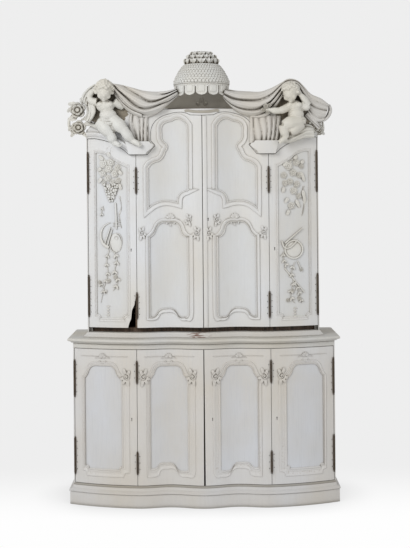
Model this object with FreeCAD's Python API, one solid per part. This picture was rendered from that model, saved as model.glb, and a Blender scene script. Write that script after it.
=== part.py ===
# Tall two-part cabinet with a bowed front: four lower doors, four upper doors and a carved crown.
# X runs to the right, Y to the back, Z up. The origin is under the middle of the whole cabinet.
# Each side door hangs on the case, and each centre door hangs on the side door beside it.

import FreeCAD, Part
import math
import os
from FreeCAD import Vector

os.makedirs("parts", exist_ok=True)

# Widths, from the middle of the cabinet to one side
seam_x = 410.0
lower_half = 812.0
upper_half = 723.0
plinth_overhang = 24.0
waist_overhang = 34.0
skirt_overhang = 27.0

# Depths
lower_depth = 590.0
upper_set_back = 80.0
end_sweep = 138.0
hollow_depth = 38.0

# Heights above the floor
plinth_height = 79.0
plinth_cap_top = 118.0
lower_door_bottom = 134.0
lower_door_top = 963.0
waist_bottom = 997.0
waist_top = 1027.0
skirt_top = 1058.0
upper_door_bottom = 1089.0
shoulder_height = 2157.0
dome_height = 125.0
tuft_height = 85.0

# Rises above the shoulder of the upper doors
side_door_rise = 105.0
centre_door_rise = 263.0
frieze_rise = 283.0
canopy_rise = 433.0

# Boards
board = 28.0
thin_board = 22.0
back_board = 14.0
plinth_board = 30.0
lip = 7.0
overrun = 5.0
floor_set_back = 26.0
stave_count = 10
arc_step = math.radians(30)
disc_sides = 10

# Doors
door_thickness = 26.0
door_gap = 3.0
meeting_gap = 4.0
door_rest_gap = 1.5
opening_rebate = 9.0
panel_set_back = 5.0
panel_thickness = 13.0
moulding_width = 26.0
moulding_height = 9.0
bead_width = 9.0
bead_height = 4.0
fit_gap = 0.3
strip_width = 34.0
strip_height = 7.0

# Ironwork
barrel_radius = 6.0
pin_radius = 3.0
pin_play = 0.1
knuckle_gap = 0.5
leaf_thickness = 1.2
leaf_depth = 20.0
finial_height = 9.0
lock_width = 58.0
lock_height = 92.0
lock_depth = 13.0
lock_inset = 14.0
bolt_size = 9.0
bolt_throw = 6.0
keyhole_radius = 3.0
keyhole_height = 15.0
key_inset = 34.0

# Hinges as pairs of middle height and length
lower_outer_hinges = ((778.0, 210.0), (300.0, 210.0))
lower_seam_hinges = ((826.0, 120.0), (272.0, 120.0))
upper_outer_hinges = ((2050.0, 240.0), (1283.0, 240.0))
upper_seam_hinges = ((1999.0, 145.0), (1226.0, 145.0))
lower_key_height = 543.0
upper_key_height = 1576.0
upper_meeting_key_height = 1762.0

# Crown
canopy_half_width = 171.0
canopy_projection = 95.0
canopy_back = 60.0
tuft_half_width = 95.0
swag_tuck = 19.0
swag_end_share = 0.385
niche_half_width = 236.0
niche_depth = 90.0
niche_wall = 14.0
lambrequin_drop = 72.0
lambrequin_thickness = 9.0
lambrequin_tabs = 7
cornice_height = 30.0
cornice_projection = 30.0
pedestal_height = 80.0
pedestal_projection = 34.0
pedestal_inset = 9.0
notch_rise_share = 0.70
putto_height = 440.0
putto_depth = 118.0
left_putto_share = 0.62
right_putto_share = 0.52
putto_forward_share = 0.45
putto_seat_share = 0.42

# Places worked out from the sizes above
back_y = (lower_depth + waist_overhang) / 2
stave = seam_x / stave_count
lower_face = back_y - lower_depth
upper_face = lower_face + upper_set_back
side_door_top = shoulder_height + side_door_rise
centre_door_top = shoulder_height + centre_door_rise
frieze_crest = shoulder_height + frieze_rise
canopy_bottom = shoulder_height + canopy_rise
side_width = upper_half - seam_x
lower_hang = lower_half - lip - door_gap / 2
upper_hang = upper_half - lip - door_gap / 2
rest_line = door_thickness + door_rest_gap
floor_bottom = plinth_cap_top - (thin_board - (lower_door_bottom - plinth_cap_top - door_gap))
floor_top = floor_bottom + thin_board
crest_z = canopy_bottom + dome_height + tuft_height


def curve_depth(x):
    """Depth of the crossbow curve behind its middle, at a place x to the right."""
    depth = end_sweep * (x / (2 * seam_x)) ** 3
    if x < seam_x:
        depth += hollow_depth * math.sin(math.pi * x / seam_x) ** 2
    return depth


def bow(x):
    """Depth of the front, which is made of narrow flat staves between points of the curve."""
    low = math.floor(abs(x) / stave) * stave
    share = (abs(x) - low) / stave
    return curve_depth(low) * (1 - share) + curve_depth(low + stave) * share


def bow_slope(x):
    """Slope of the stave at x, for x to the right of the middle."""
    low = math.floor(x / stave) * stave
    return (curve_depth(low + stave) - curve_depth(low)) / stave


def front_spots(y, x0, x1, z):
    """Points of the bowed front from x0 to x1, moved back to y."""
    joints = [k * stave for k in range(math.ceil(x0 / stave), math.floor(x1 / stave) + 1)]
    inner = [x for x in joints if x0 + fit_gap < x < x1 - fit_gap]
    return [Vector(x, y + bow(x), z) for x in [x0] + inner + [x1]]


def polygon(spots):
    return Part.Face(Part.makePolygon(spots + [spots[0]]))


def board_flat(y0, y1, x0, x1, z0, z1):
    """Level or upright board with a bowed front edge and a straight back."""
    spots = front_spots(y0, x0, x1, z0) + [Vector(x1, y1, z0), Vector(x0, y1, z0)]
    return polygon(spots).extrude(Vector(0, 0, z1 - z0))


def bent(y0, y1, x0, x1, z0, z1):
    """Layer of even depth that follows the bowed front."""
    spots = front_spots(y0, x0, x1, z0) + front_spots(y1, x0, x1, z0)[::-1]
    return polygon(spots).extrude(Vector(0, 0, z1 - z0))


def flat(a, b, c, d):
    """Whether four points lie in one plane."""
    return abs((b - a).cross(c - a).dot(d - a)) < fit_gap * fit_gap * fit_gap


def skin(rings):
    """Solid with flat faces through rings of points, closed at both ends."""
    faces = [polygon(rings[0]), polygon(rings[-1])]
    for low, high in zip(rings, rings[1:]):
        for i, a in enumerate(low):
            j = (i + 1) % len(low)
            b, c, d = low[j], high[j], high[i]
            if flat(a, b, c, d):
                faces.append(polygon([a, b, c, d]))
            else:
                faces += [polygon([a, b, c]), polygon([a, c, d])]
    solid = Part.makeSolid(Part.makeShell(faces))
    return solid if solid.Volume > 0 else solid.reversed()


def box(x0, x1, y0, y1, z0, z1):
    return Part.makeBox(x1 - x0, y1 - y0, z1 - z0, Vector(x0, y0, z0))


def mirrored(shape):
    return shape.mirror(Vector(0, 0, 0), Vector(1, 0, 0))


def outline(steps):
    """Closed face in the XZ plane. A step is a point, or a middle point and an end point of an arc."""
    spots = [Vector(steps[0][0], 0, steps[0][1])]
    for step in steps[1:]:
        if isinstance(step[0], tuple):
            middle = Vector(step[0][0], 0, step[0][1])
            end = Vector(step[1][0], 0, step[1][1])
            arc = Part.Arc(spots[-1], middle, end).toShape()
            turn = arc.Curve.Radius
            count = max(2, round(arc.Length / turn / arc_step))
            spots += arc.discretize(Number=count + 1)[1:]
        else:
            spots.append(Vector(step[0], 0, step[1]))
    return polygon(spots)


def grown(face, amount):
    return face.makeOffset2D(amount, 2)


def prism(face):
    """The elevation face, swept through the whole depth of the cabinet."""
    placed = face.copy()
    placed.translate(Vector(0, -back_y - overrun, 0))
    return placed.extrude(Vector(0, 2 * (back_y + overrun), 0))


def layer(face, y0, y1):
    """The elevation face as a layer of the bowed front, between the depths y0 and y1."""
    limits = face.BoundBox
    slab = bent(y0, y1, limits.XMin - overrun, limits.XMax + overrun,
                limits.ZMin - overrun, limits.ZMax + overrun)
    return slab.common(prism(face))


def spread(shares, x0, x1, z0, z1):
    """Outline steps from shares of a door's width and height."""
    def place(share):
        return (x0 + share[0] * (x1 - x0), z0 + share[1] * (z1 - z0))
    return [tuple(place(s) for s in share) if isinstance(share[0], tuple) else place(share)
            for share in shares]


def save(name, *solids):
    shape = solids[0] if len(solids) == 1 else Part.makeCompound(list(solids))
    shape.exportStep("parts/" + name + ".step")


def moulded_board(profile, face_y, half, rear):
    """Board with a moulded edge. The profile is a list of heights and overhangs."""
    rings = []
    last = math.floor((half - overrun) / stave) * stave
    for z, out in profile:
        end = half + out
        end_y = face_y - out + bow(last) + bow_slope(last + overrun) * (end - last)
        middle = front_spots(face_y - out, -last - fit_gap, last + fit_gap, z)[1:-1]
        rings.append([Vector(-end, end_y, z)] + middle + [Vector(end, end_y, z)]
                     + [Vector(end, rear, z), Vector(-end, rear, z)])
    return skin(rings)


# Shaped outlines, as shares of a door's width from its free edge and of its height
neck_share = 0.771
notch_share = 0.705
centre_top_shares = ((0.0, 0.983), (0.173, 0.985), ((0.317, 0.9993), (0.488, 0.993)),
                     ((0.690, 0.963), (neck_share, 0.910)), (neck_share, 0.869),
                     (notch_share, 0.847), (0.827, 0.803))
strip_share = 0.98
side_top_shares = ((0.14, 0.0), ((0.43, 0.64), (0.70, 0.96)), (0.84, 1.0))
upper_field_shares = ((0.82, 0.557), ((0.69, 0.566), (0.54, 0.582)), (0.39, 0.580), (0.36, 0.603),
                      (0.24, 0.636), (0.24, 0.930), ((0.36, 0.960), (0.53, 0.943)),
                      ((0.61, 0.912), (0.54, 0.855)), ((0.535, 0.826), (0.61, 0.788)),
                      ((0.69, 0.762), (0.82, 0.743)))
lower_field_shares = ((0.24, 0.067), ((0.53, 0.100), (0.82, 0.067)), (0.82, 0.425),
                      ((0.49, 0.482), (0.24, 0.412)))
side_field_shares = ((0.22, 0.052), (0.31, 0.040), (0.76, 0.040), (0.85, 0.052), (0.85, 0.926),
                     ((0.56, 0.905), (0.22, 0.840)))
base_centre_shares = ((0.19, 0.080), ((0.52, 0.135), (0.80, 0.080)), (0.80, 0.770),
                      ((0.50, 0.872), (0.19, 0.770)))
base_side_shares = ((0.22, 0.090), (0.27, 0.072), (0.77, 0.072), (0.82, 0.090), (0.82, 0.762),
                    ((0.56, 0.866), (0.22, 0.762)))


def door_parts(face_y, shape, fields, key_x, key_z):
    """Frame with its shaped openings and mouldings, and the panels that sit in its rebates."""
    frame = layer(shape, face_y, face_y + door_thickness)
    panels = []
    for field in fields:
        wide = grown(field, opening_rebate)
        panel_y = face_y + panel_set_back
        frame = frame.cut(prism(field))
        rebate = layer(wide, panel_y, face_y + door_thickness + overrun)
        frame = frame.cut(rebate)
        panels.append(layer(wide, panel_y, panel_y + panel_thickness))
        rim = grown(field, moulding_width).cut(field)
        bead = grown(field, moulding_width - bead_width / 2).cut(grown(field, bead_width))
        frame = frame.fuse(layer(rim, face_y - bead_height, face_y + panel_set_back / 2))
        frame = frame.fuse(layer(bead, face_y - moulding_height, face_y))
    if key_z:
        foot = key_z - keyhole_height
        hole = outline([(key_x - keyhole_radius / 2, foot), (key_x + keyhole_radius / 2, foot),
                        (key_x + keyhole_radius / 2, key_z - keyhole_radius),
                        ((key_x, key_z + keyhole_radius),
                         (key_x - keyhole_radius / 2, key_z - keyhole_radius))])
        frame = frame.cut(prism(hole))
    return frame.removeSplitter(), panels


def hinge_axis_y(face_y, x):
    """Depth of a hinge axis, so that the barrel stands clear of the slanted front."""
    slope = bow_slope(x)
    return face_y + bow(x) - (barrel_radius + 2 * fit_gap) * math.sqrt(1 + slope * slope)


def rod(x, y, radius, z0, z1):
    return Part.makeCylinder(radius, z1 - z0, Vector(x, y, z0))


def barrel_rod(x, y, z0, z1):
    """Wrapped barrel of a hinge, with many narrow sides."""
    turns = [2 * math.pi * i / disc_sides for i in range(disc_sides)]
    spots = [Vector(x + barrel_radius * math.cos(turn), y + barrel_radius * math.sin(turn), z0)
             for turn in turns]
    return polygon(spots).extrude(Vector(0, 0, z1 - z0))


def hinge(face_y, x, pairs):
    """Right-hand hinges on one axis. The parts that stay, and the parts that turn."""
    axis_y = hinge_axis_y(face_y, x)
    leaf_end = face_y + bow(x) + leaf_depth
    stay, turn = [], []
    for middle, length in pairs:
        low, high = middle - length / 2, middle + length / 2
        barrel = barrel_rod(x, axis_y, low, middle)
        pin = rod(x, axis_y, pin_radius, middle, high + finial_height)
        inner = door_gap / 2 - leaf_thickness
        plate = box(x + inner, x + door_gap / 2, axis_y + pin_radius, leaf_end, low, middle)
        stay.append(barrel.fuse(pin).fuse(plate))
        start = middle + knuckle_gap
        tube = barrel_rod(x, axis_y, start, high)
        plate = box(x - door_gap / 2, x - inner, axis_y + pin_radius, leaf_end, start, high)
        bore = rod(x, axis_y, pin_radius + pin_play, middle, high + overrun)
        turn.append(tube.fuse(plate).cut(bore))
    return stay, turn


def lock(face_y, x, z, way):
    """Lock case on the back of a door, with its bolt reaching past the door's edge."""
    edge = x + way * lock_inset
    far = edge + way * lock_width
    back = face_y + max(bow(edge), bow(far)) + door_thickness
    near = face_y + min(bow(edge), bow(far)) + door_thickness
    case = box(min(edge, far), max(edge, far), near, back + lock_depth,
               z - lock_height / 2, z + lock_height / 2)
    case = case.cut(bent(face_y - overrun, face_y + door_thickness, min(edge, far) - overrun,
                         max(edge, far) + overrun, z - lock_height, z + lock_height))
    tip = edge - way * bolt_throw
    bolt = box(min(edge, tip), max(edge, tip), back + fit_gap, back + bolt_size,
               z - bolt_size, z + bolt_size)
    return case.fuse(bolt)


# Plinth: a bowed front board, two end boards and a back rail
plinth_y = lower_face - plinth_overhang
plinth_half = lower_half + plinth_overhang
plinth_front = bent(plinth_y, plinth_y + plinth_board, -plinth_half, plinth_half, 0, plinth_height)
plinth_ends = []
for side in (-1, 1):
    outer, inner = side * plinth_half, side * (plinth_half - plinth_board)
    end = board_flat(plinth_y + plinth_board, back_y, min(inner, outer), max(inner, outer),
                     0, plinth_height)
    plinth_ends.append(end)
plinth_rear = box(-plinth_half + plinth_board, plinth_half - plinth_board,
                  back_y - plinth_board, back_y, 0, plinth_height)
save("plinth", plinth_front, *plinth_ends, plinth_rear)

# Moulding on top of the plinth, with a ledge inside that carries the floor
cap_rise = plinth_cap_top - plinth_height
cap_shares = ((0.0, 1.0), (0.12, 1.25), (0.36, 1.25), (0.60, 0.60), (0.78, 0.28), (1.0, 0.15))
cap_profile = [(plinth_height + up * cap_rise, out * plinth_overhang) for up, out in cap_shares]
cap = moulded_board(cap_profile, lower_face, lower_half, back_y)
ledge = plinth_board - plinth_overhang
inside = board_flat(lower_face + ledge, back_y + overrun, -lower_half + ledge, lower_half - ledge,
                    plinth_height - overrun, plinth_cap_top + overrun)
seat = board_flat(lower_face, back_y + overrun, -lower_half, lower_half,
                  floor_bottom, plinth_cap_top + overrun)
cap = cap.cut(inside).cut(seat)
corner_y = lower_face + bow(lower_half) + plinth_board
front_half = box(-2 * lower_half, 2 * lower_half, -2 * lower_depth, corner_y, 0, waist_top)
cap_front = cap.common(front_half)
cap_sides = cap.cut(front_half).Solids
save("plinth_cap", *cap_front.Solids, *cap_sides)

# Floor, sides, back, partitions and shelf of the lower part
lower_floor = board_flat(lower_face, back_y - back_board, -lower_half, lower_half,
                         floor_bottom, floor_top)
save("lower_floor", lower_floor)


def side_board(face_y, half, bottom, top):
    """Right side board, with the thin lip that the door closes beside."""
    main = box(half - board, half, face_y + rest_line + bow(half), back_y, bottom, top)
    edge = bent(face_y, face_y + rest_line + overrun, half - lip, half, bottom, top)
    return main.fuse(edge).removeSplitter()


lower_side = side_board(lower_face, lower_half, floor_top, waist_bottom)
save("lower_side_right", lower_side)
save("lower_side_left", mirrored(lower_side))
lower_back = box(-lower_half + board, lower_half - board, back_y - back_board, back_y,
                 plinth_height, waist_bottom)
save("lower_back", lower_back)


def partition(face_y, bottom, top):
    return board_flat(face_y + rest_line, back_y - back_board, seam_x - thin_board / 2,
                      seam_x + thin_board / 2, bottom, top)


def shelf_bays(face_y, half, z):
    """One shelf in three lengths, between the sides and the partitions."""
    front = face_y + rest_line + bow(half)
    inner = seam_x - thin_board / 2
    outer = seam_x + thin_board / 2
    middle = box(-inner, inner, front, back_y - back_board, z, z + thin_board)
    right = box(outer, half - board, front, back_y - back_board, z, z + thin_board)
    return [middle, right, mirrored(right)]


def bolt_recess(face_y, z):
    """Pocket in the partition for the bolt of the side door's lock."""
    back = face_y + bow(seam_x + lock_inset + lock_width) + door_thickness
    return box(seam_x + thin_board / 2 - bolt_throw, seam_x + thin_board / 2 + overrun,
               back - bolt_size, back + 2 * bolt_size, z - 2 * bolt_size, z + 2 * bolt_size)


lower_partition = partition(lower_face, floor_top, waist_bottom)
lower_partition = lower_partition.cut(bolt_recess(lower_face, lower_key_height))
save("lower_partitions", lower_partition, mirrored(lower_partition))
lower_shelf_height = (floor_top + waist_bottom) / 2
save("lower_shelf", *shelf_bays(lower_face, lower_half, lower_shelf_height))

# Rail over the lower doors, and the moulded top board of the lower part
rail_half = lower_half - lip
lower_rail = bent(lower_face, lower_face + rest_line, -rail_half, rail_half,
                  lower_door_top + door_gap, waist_bottom)
save("lower_top_rail", lower_rail)
waist_rise = waist_top - waist_bottom
waist_shares = ((0.0, 0.10), (0.16, 0.28), (0.34, 0.80), (0.52, 1.0), (0.80, 0.97), (1.0, 0.82))
waist_profile = [(waist_bottom + up * waist_rise, out * waist_overhang) for up, out in waist_shares]
save("waist_top", moulded_board(waist_profile, lower_face, lower_half, back_y))

# Base board and raised floor of the upper part
skirt_rise = skirt_top - waist_top
skirt_shares = ((0.0, 1.0), (0.22, 1.0), (0.42, 0.62), (0.70, 0.30), (1.0, 0.12))
skirt_profile = [(waist_top + up * skirt_rise, out * skirt_overhang) for up, out in skirt_shares]
save("upper_base", moulded_board(skirt_profile, upper_face, upper_half, back_y))
upper_floor_top = upper_door_bottom - door_gap
upper_floor = board_flat(upper_face + rest_line + floor_set_back, back_y - back_board,
                         -upper_half + board, upper_half - board, skirt_top, upper_floor_top)
save("upper_floor", upper_floor)

# Sides, partitions, shelves, tops and back of the upper part
side_roof = side_door_top + door_gap
centre_roof = centre_door_top + door_gap
upper_side = side_board(upper_face, upper_half, skirt_top, side_roof)
save("upper_side_right", upper_side)
save("upper_side_left", mirrored(upper_side))
upper_partition = partition(upper_face, upper_floor_top, centre_roof)
upper_partition = upper_partition.cut(bolt_recess(upper_face, upper_key_height))
save("upper_partitions", upper_partition, mirrored(upper_partition))
shelf_count = 3
shelf_step = (side_roof - upper_floor_top) / (shelf_count + 1)
upper_shelves = []
for i in range(shelf_count):
    upper_shelves += shelf_bays(upper_face, upper_half, upper_floor_top + (i + 1) * shelf_step)
save("upper_shelves", *upper_shelves)
roof_front = upper_face + rest_line
side_top = board_flat(roof_front, back_y, seam_x + thin_board / 2, upper_half,
                      side_roof, side_roof + thin_board)
centre_top = board_flat(roof_front, back_y, -seam_x - thin_board / 2, seam_x + thin_board / 2,
                        centre_roof, centre_roof + thin_board)
save("upper_tops", centre_top, side_top, mirrored(side_top))
upper_back_wide = box(-upper_half + board, upper_half - board, back_y - back_board, back_y,
                      skirt_top, side_roof)
upper_back_tall = box(-seam_x - thin_board / 2, seam_x + thin_board / 2, back_y - back_board, back_y,
                      side_roof, centre_roof)
save("upper_back", upper_back_wide.fuse(upper_back_tall).removeSplitter())

# Door outlines, right-hand side
free_x = meeting_gap / 2
seam_in = seam_x - door_gap / 2
seam_out = seam_x + door_gap / 2


def rectangle(x0, x1, z0, z1):
    return outline([(x0, z0), (x1, z0), (x1, z1), (x0, z1)])


base_centre = rectangle(free_x, seam_in, lower_door_bottom, lower_door_top)
base_side = rectangle(seam_out, lower_hang - door_gap / 2, lower_door_bottom, lower_door_top)
top_steps = spread(centre_top_shares, free_x, seam_x, upper_door_bottom, centre_door_top)
upper_centre = outline([(free_x, upper_door_bottom)] + top_steps
                       + [(seam_in, shoulder_height), (seam_in, upper_door_bottom)])
upper_side_edge = upper_hang - door_gap / 2
side_top_steps = spread(side_top_shares, seam_x, upper_half, shoulder_height, side_door_top)
upper_side_door = outline([(seam_out, upper_door_bottom), (seam_out, shoulder_height)]
                          + side_top_steps
                          + [(upper_side_edge, side_door_top), (upper_side_edge, upper_door_bottom)])

# Lower doors
key_x = seam_x + key_inset
base_centre_field = outline(spread(base_centre_shares, free_x, seam_in,
                                   lower_door_bottom, lower_door_top))
base_side_field = outline(spread(base_side_shares, seam_out, lower_hang,
                                 lower_door_bottom, lower_door_top))
frame, panels = door_parts(lower_face, base_centre, [base_centre_field], 0, 0)
save("lower_centre_left_frame", mirrored(frame))
save("lower_centre_left_panel", mirrored(panels[0]))
frame, panels = door_parts(lower_face, base_centre, [base_centre_field],
                           key_inset + strip_width / 2, lower_key_height)
strip = bent(lower_face - strip_height, lower_face, free_x, free_x + strip_width / 2,
             lower_door_bottom, lower_door_top)
save("lower_centre_right_frame", frame.fuse(strip))
save("lower_centre_right_panel", panels[0])
frame, panels = door_parts(lower_face, base_side, [base_side_field], key_x, lower_key_height)
save("lower_side_door_right_frame", frame)
save("lower_side_door_right_panel", panels[0])
save("lower_side_door_left_frame", mirrored(frame))
save("lower_side_door_left_panel", mirrored(panels[0]))

# Upper doors
upper_fields = [outline(spread(shares, free_x, seam_in, upper_door_bottom, centre_door_top))
                for shares in (upper_field_shares, lower_field_shares)]
upper_side_field = outline(spread(side_field_shares, seam_out, upper_hang,
                                  upper_door_bottom, side_door_top))
frame, panels = door_parts(upper_face, upper_centre, upper_fields, 0, 0)
save("upper_centre_left_frame", mirrored(frame))
save("upper_centre_left_panels", *[mirrored(panel) for panel in panels])
frame, panels = door_parts(upper_face, upper_centre, upper_fields,
                           key_inset, upper_meeting_key_height)
strip = bent(upper_face - strip_height, upper_face, free_x, free_x + strip_width,
             upper_door_bottom, upper_door_bottom + strip_share * (centre_door_top - upper_door_bottom))
save("upper_centre_right_frame", frame.fuse(strip))
save("upper_centre_right_panels", *panels)
frame, panels = door_parts(upper_face, upper_side_door, [upper_side_field], key_x, upper_key_height)
save("upper_side_door_right_frame", frame)
save("upper_side_door_right_panel", panels[0])
save("upper_side_door_left_frame", mirrored(frame))
save("upper_side_door_left_panel", mirrored(panels[0]))

# Ironwork: hinges in two knuckles, and lock cases behind the keyholes
for unit, face_y, hang, outer_pairs, seam_pairs, key_z, meeting_z in (
        ("lower", lower_face, lower_hang, lower_outer_hinges, lower_seam_hinges,
         lower_key_height, lower_key_height),
        ("upper", upper_face, upper_hang, upper_outer_hinges, upper_seam_hinges,
         upper_key_height, upper_meeting_key_height)):
    outer_stay, outer_turn = hinge(face_y, hang, outer_pairs)
    seam_stay, seam_turn = hinge(face_y, seam_x, seam_pairs)
    save(unit + "_case_hinges", *outer_stay, *[mirrored(part) for part in outer_stay])
    side_lock = lock(face_y, seam_x, key_z, 1)
    side_iron = outer_turn + seam_stay + [side_lock]
    save(unit + "_side_right_ironwork", *side_iron)
    save(unit + "_side_left_ironwork", *[mirrored(part) for part in side_iron])
    save(unit + "_centre_left_ironwork", *[mirrored(part) for part in seam_turn])
    save(unit + "_centre_right_ironwork", *seam_turn, lock(face_y, 0, meeting_z, 1))

# Frieze: the shaped board over the upper doors, in the plane of the doors
niche_edge = niche_half_width + niche_wall
frieze_end_shares = ((1.0, 0.28), ((0.65, 0.76), (0.15, 1.0)))
frieze_face = outline([(0, shoulder_height), (upper_half, shoulder_height)]
                      + spread(frieze_end_shares, seam_x, upper_half, side_roof, frieze_crest)
                      + [(0, frieze_crest)])
frieze_face = frieze_face.cut(grown(upper_centre, door_gap)).cut(grown(upper_side_door, door_gap))
frieze_face = frieze_face.cut(rectangle(-door_gap, free_x + door_gap, 0, centre_door_top))
lip_room = rectangle(upper_half - lip - door_gap, upper_half + overrun, 0, side_roof)
frieze_right = layer(frieze_face.cut(lip_room), upper_face, upper_face + rest_line)
frieze_right = max(frieze_right.Solids, key=lambda solid: solid.Volume)
frieze = frieze_right.fuse(mirrored(frieze_right)).removeSplitter()
save("frieze", *frieze.Solids)

# Curved cornices over the side doors, each with the pedestal block of its carved figure
door_edge = grown(upper_side_door, door_gap)
tall_band = grown(upper_side_door, door_gap + cornice_height)
low_band = grown(upper_side_door, door_gap + cornice_height / 2)
shoulder_end = seam_x + side_top_shares[0][0] * side_width
above = rectangle(shoulder_end, upper_half + cornice_projection, shoulder_height + door_gap,
                  side_door_top + 2 * cornice_height)
beyond = rectangle(0, upper_half, 0, crest_z)
beyond = beyond.cut(rectangle(upper_side_edge, upper_half + overrun, 0, side_roof))
fascia = tall_band.cut(door_edge).common(above).common(beyond)
crown_band = tall_band.cut(low_band).common(above).common(beyond)
cornice = layer(fascia, upper_face - cornice_projection / 2, upper_face)
cornice = cornice.fuse(layer(crown_band, upper_face - cornice_projection, upper_face))
pedestal_low = shoulder_height + door_gap
pedestal_top = pedestal_low + pedestal_height
pedestal_end = shoulder_end + thin_board
foot_x = top_steps[-1][0] + pedestal_inset
notch_x = top_steps[-2][0] + pedestal_inset
neck_x = top_steps[-3][0] + pedestal_inset
notch_z = pedestal_low + notch_rise_share * pedestal_height
block = outline([(foot_x, pedestal_low), (notch_x, notch_z), (neck_x, pedestal_top),
                 (pedestal_end, pedestal_top), (shoulder_end, pedestal_low)])
pedestal = layer(block, upper_face - pedestal_projection, upper_face)
cornice = cornice.fuse(pedestal).removeSplitter()
save("cornice_right", *cornice.Solids)
save("cornice_left", *mirrored(cornice).Solids)

# Niche under the canopy: a hollow wall between the two halves of the crown
niche_y = upper_face + rest_line
niche_low = centre_roof + thin_board


def niche_spots(half, depth, z):
    """Points of a shallow hollow in plan, from left to right."""
    arc = Part.Arc(Vector(-half, niche_y, z), Vector(0, niche_y + depth, z), Vector(half, niche_y, z))
    return arc.toShape().discretize(Number=stave_count + 1)


niche_plan = (niche_spots(niche_half_width, niche_depth, niche_low)
              + niche_spots(niche_edge, niche_depth + niche_wall, niche_low)[::-1])
niche = polygon(niche_plan).extrude(Vector(0, 0, canopy_bottom - niche_low))
save("niche", niche)

# Canopy: half a dome on a half-round rim, closed behind by the niche wall
canopy_y = upper_face + canopy_back


def half_round(half, projection, z):
    """Half ellipse in plan, pointing forward, as points from left to right."""
    turns = [math.pi * i / stave_count for i in range(stave_count + 1)]
    return [Vector(-half * math.cos(turn), canopy_y - projection * math.sin(turn), z)
            for turn in turns]


reach = canopy_projection + canopy_back
dome_shares = ((0.0, 1.0), (0.10, 1.02), (0.35, 0.95), (0.70, 0.82), (1.0, 0.655))
dome = skin([half_round(canopy_half_width * share, reach * share, canopy_bottom + up * dome_height)
             for up, share in dome_shares])
save("canopy", dome)
tuft_shares = ((0.0, 0.80), (0.25, 1.0), (0.60, 0.82), (0.88, 0.52), (1.0, 0.20))
tuft_reach = reach * tuft_half_width / canopy_half_width
tuft = skin([half_round(tuft_half_width * share, tuft_reach * share,
                        canopy_bottom + dome_height + up * tuft_height)
             for up, share in tuft_shares])
save("crown_tuft", tuft)

# Lambrequin: a hanging band with rounded tabs, bent round the rim
tabs = []
inside_share = 1 - lambrequin_thickness / canopy_half_width
tab_share = 0.44
tab_shares = ((0.0, 1.0), (0.62, 1.0), (0.88, 0.72), (1.0, 0.28))
for i in range(lambrequin_tabs):
    span = math.pi / lambrequin_tabs
    middle = (i + 0.5) * span
    ring = []
    for share in (1.0, inside_share):
        for turn in (-tab_share, tab_share):
            angle = middle + turn * span
            ring.append((-canopy_half_width * share * math.cos(angle),
                         canopy_y - reach * share * math.sin(angle)))
    ring = [ring[0], ring[1], ring[3], ring[2]]
    centre_x = sum(spot[0] for spot in ring) / 4
    centre_y = sum(spot[1] for spot in ring) / 4
    rings = []
    for drop, width in tab_shares:
        z = canopy_bottom - drop * lambrequin_drop
        rings.append([Vector(centre_x + (x - centre_x) * width, centre_y + (y - centre_y) * width, z)
                      for x, y in ring])
    tabs.append(skin(rings))
save("lambrequin", *tabs)


def limb(spots, radii, sides):
    """Rounded form through rings of the given radii. A radius may differ across and in depth."""
    rings = []
    for i, spot in enumerate(spots):
        along = spots[min(i + 1, len(spots) - 1)] - spots[max(i - 1, 0)]
        across = along.cross(Vector(0, 1, 0)).normalize()
        deep = along.cross(across).normalize()
        wide, thick = radii[i]
        ring = []
        for j in range(sides):
            turn = 2 * math.pi * j / sides
            ring.append(spot + across * (wide * math.cos(turn)) + deep * (thick * math.sin(turn)))
        rings.append(ring)
    return skin(rings)


def placed_limb(points, radii, sides):
    """Limb from shares of the figure's height: across, forward and up from its seat."""
    spots = [Vector(x * putto_height, y * putto_height, z * putto_height) for x, y, z in points]
    sizes = [(wide * putto_height, thick * putto_height) for wide, thick in radii]
    return limb(spots, sizes, sides)


# Swags of cloth from the canopy to the carved figures, with folds that hang under them
swag_shares = ((0.0, 0.0), (0.55, 0.0), (0.92, 0.14), (0.74, 0.30), (1.0, 0.48), (0.78, 0.64),
               (0.88, 0.80), (0.45, 1.0), (0.0, 0.96))
crown_room = canopy_bottom - frieze_crest
swag_shares_across = ((0.0, 0.85, 0.55, 0.50), (0.176, 0.72, 0.10, 0.85), (0.363, 0.74, -0.17, 1.0),
                      (0.538, 0.76, -0.34, 1.0), (0.714, 0.82, -0.22, 0.95),
                      (0.879, 0.94, 0.16, 0.80), (1.0, 1.0, 0.62, 0.50))
swag_depth = 72.0
swag_start = canopy_half_width - swag_tuck
swag_end = seam_x + swag_end_share * side_width
swag_rings = []
for across, top, bottom, forward in swag_shares_across:
    x = swag_start + across * (swag_end - swag_start)
    low = frieze_crest + bottom * crown_room
    high = frieze_crest + top * crown_room
    front = swag_depth * forward
    swag_rings.append([Vector(x, upper_face + bow(x) - front * u, low + (high - low) * v)
                       for u, v in swag_shares])
swag = skin(swag_rings)
fold_left_share = 0.85
fold_right_share = 0.97
fold_shares = ((0.15, 0.6), (0.5, 1.0), (0.85, 0.5))
fold_top_share = -0.30
fold_left = fold_left_share * seam_x
fold_right = fold_right_share * seam_x
fold_count = 3
fold_step = (fold_right - fold_left) / fold_count
fold_depth = 24.0
fold_spots = [Vector(fold_left, upper_face + bow(fold_left), 0)]
for i in range(fold_count):
    for share, forward in fold_shares:
        x = fold_left + (i + share) * fold_step
        fold_spots.append(Vector(x, upper_face + bow(x) - fold_depth * forward, 0))
fold_spots += front_spots(upper_face, fold_left, fold_right, 0)[:0:-1]
fold_bottom = pedestal_top
fold_top = frieze_crest + fold_top_share * crown_room
folds = polygon(fold_spots).extrude(Vector(0, 0, fold_top - fold_bottom))
folds.translate(Vector(0, 0, fold_bottom))


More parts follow.
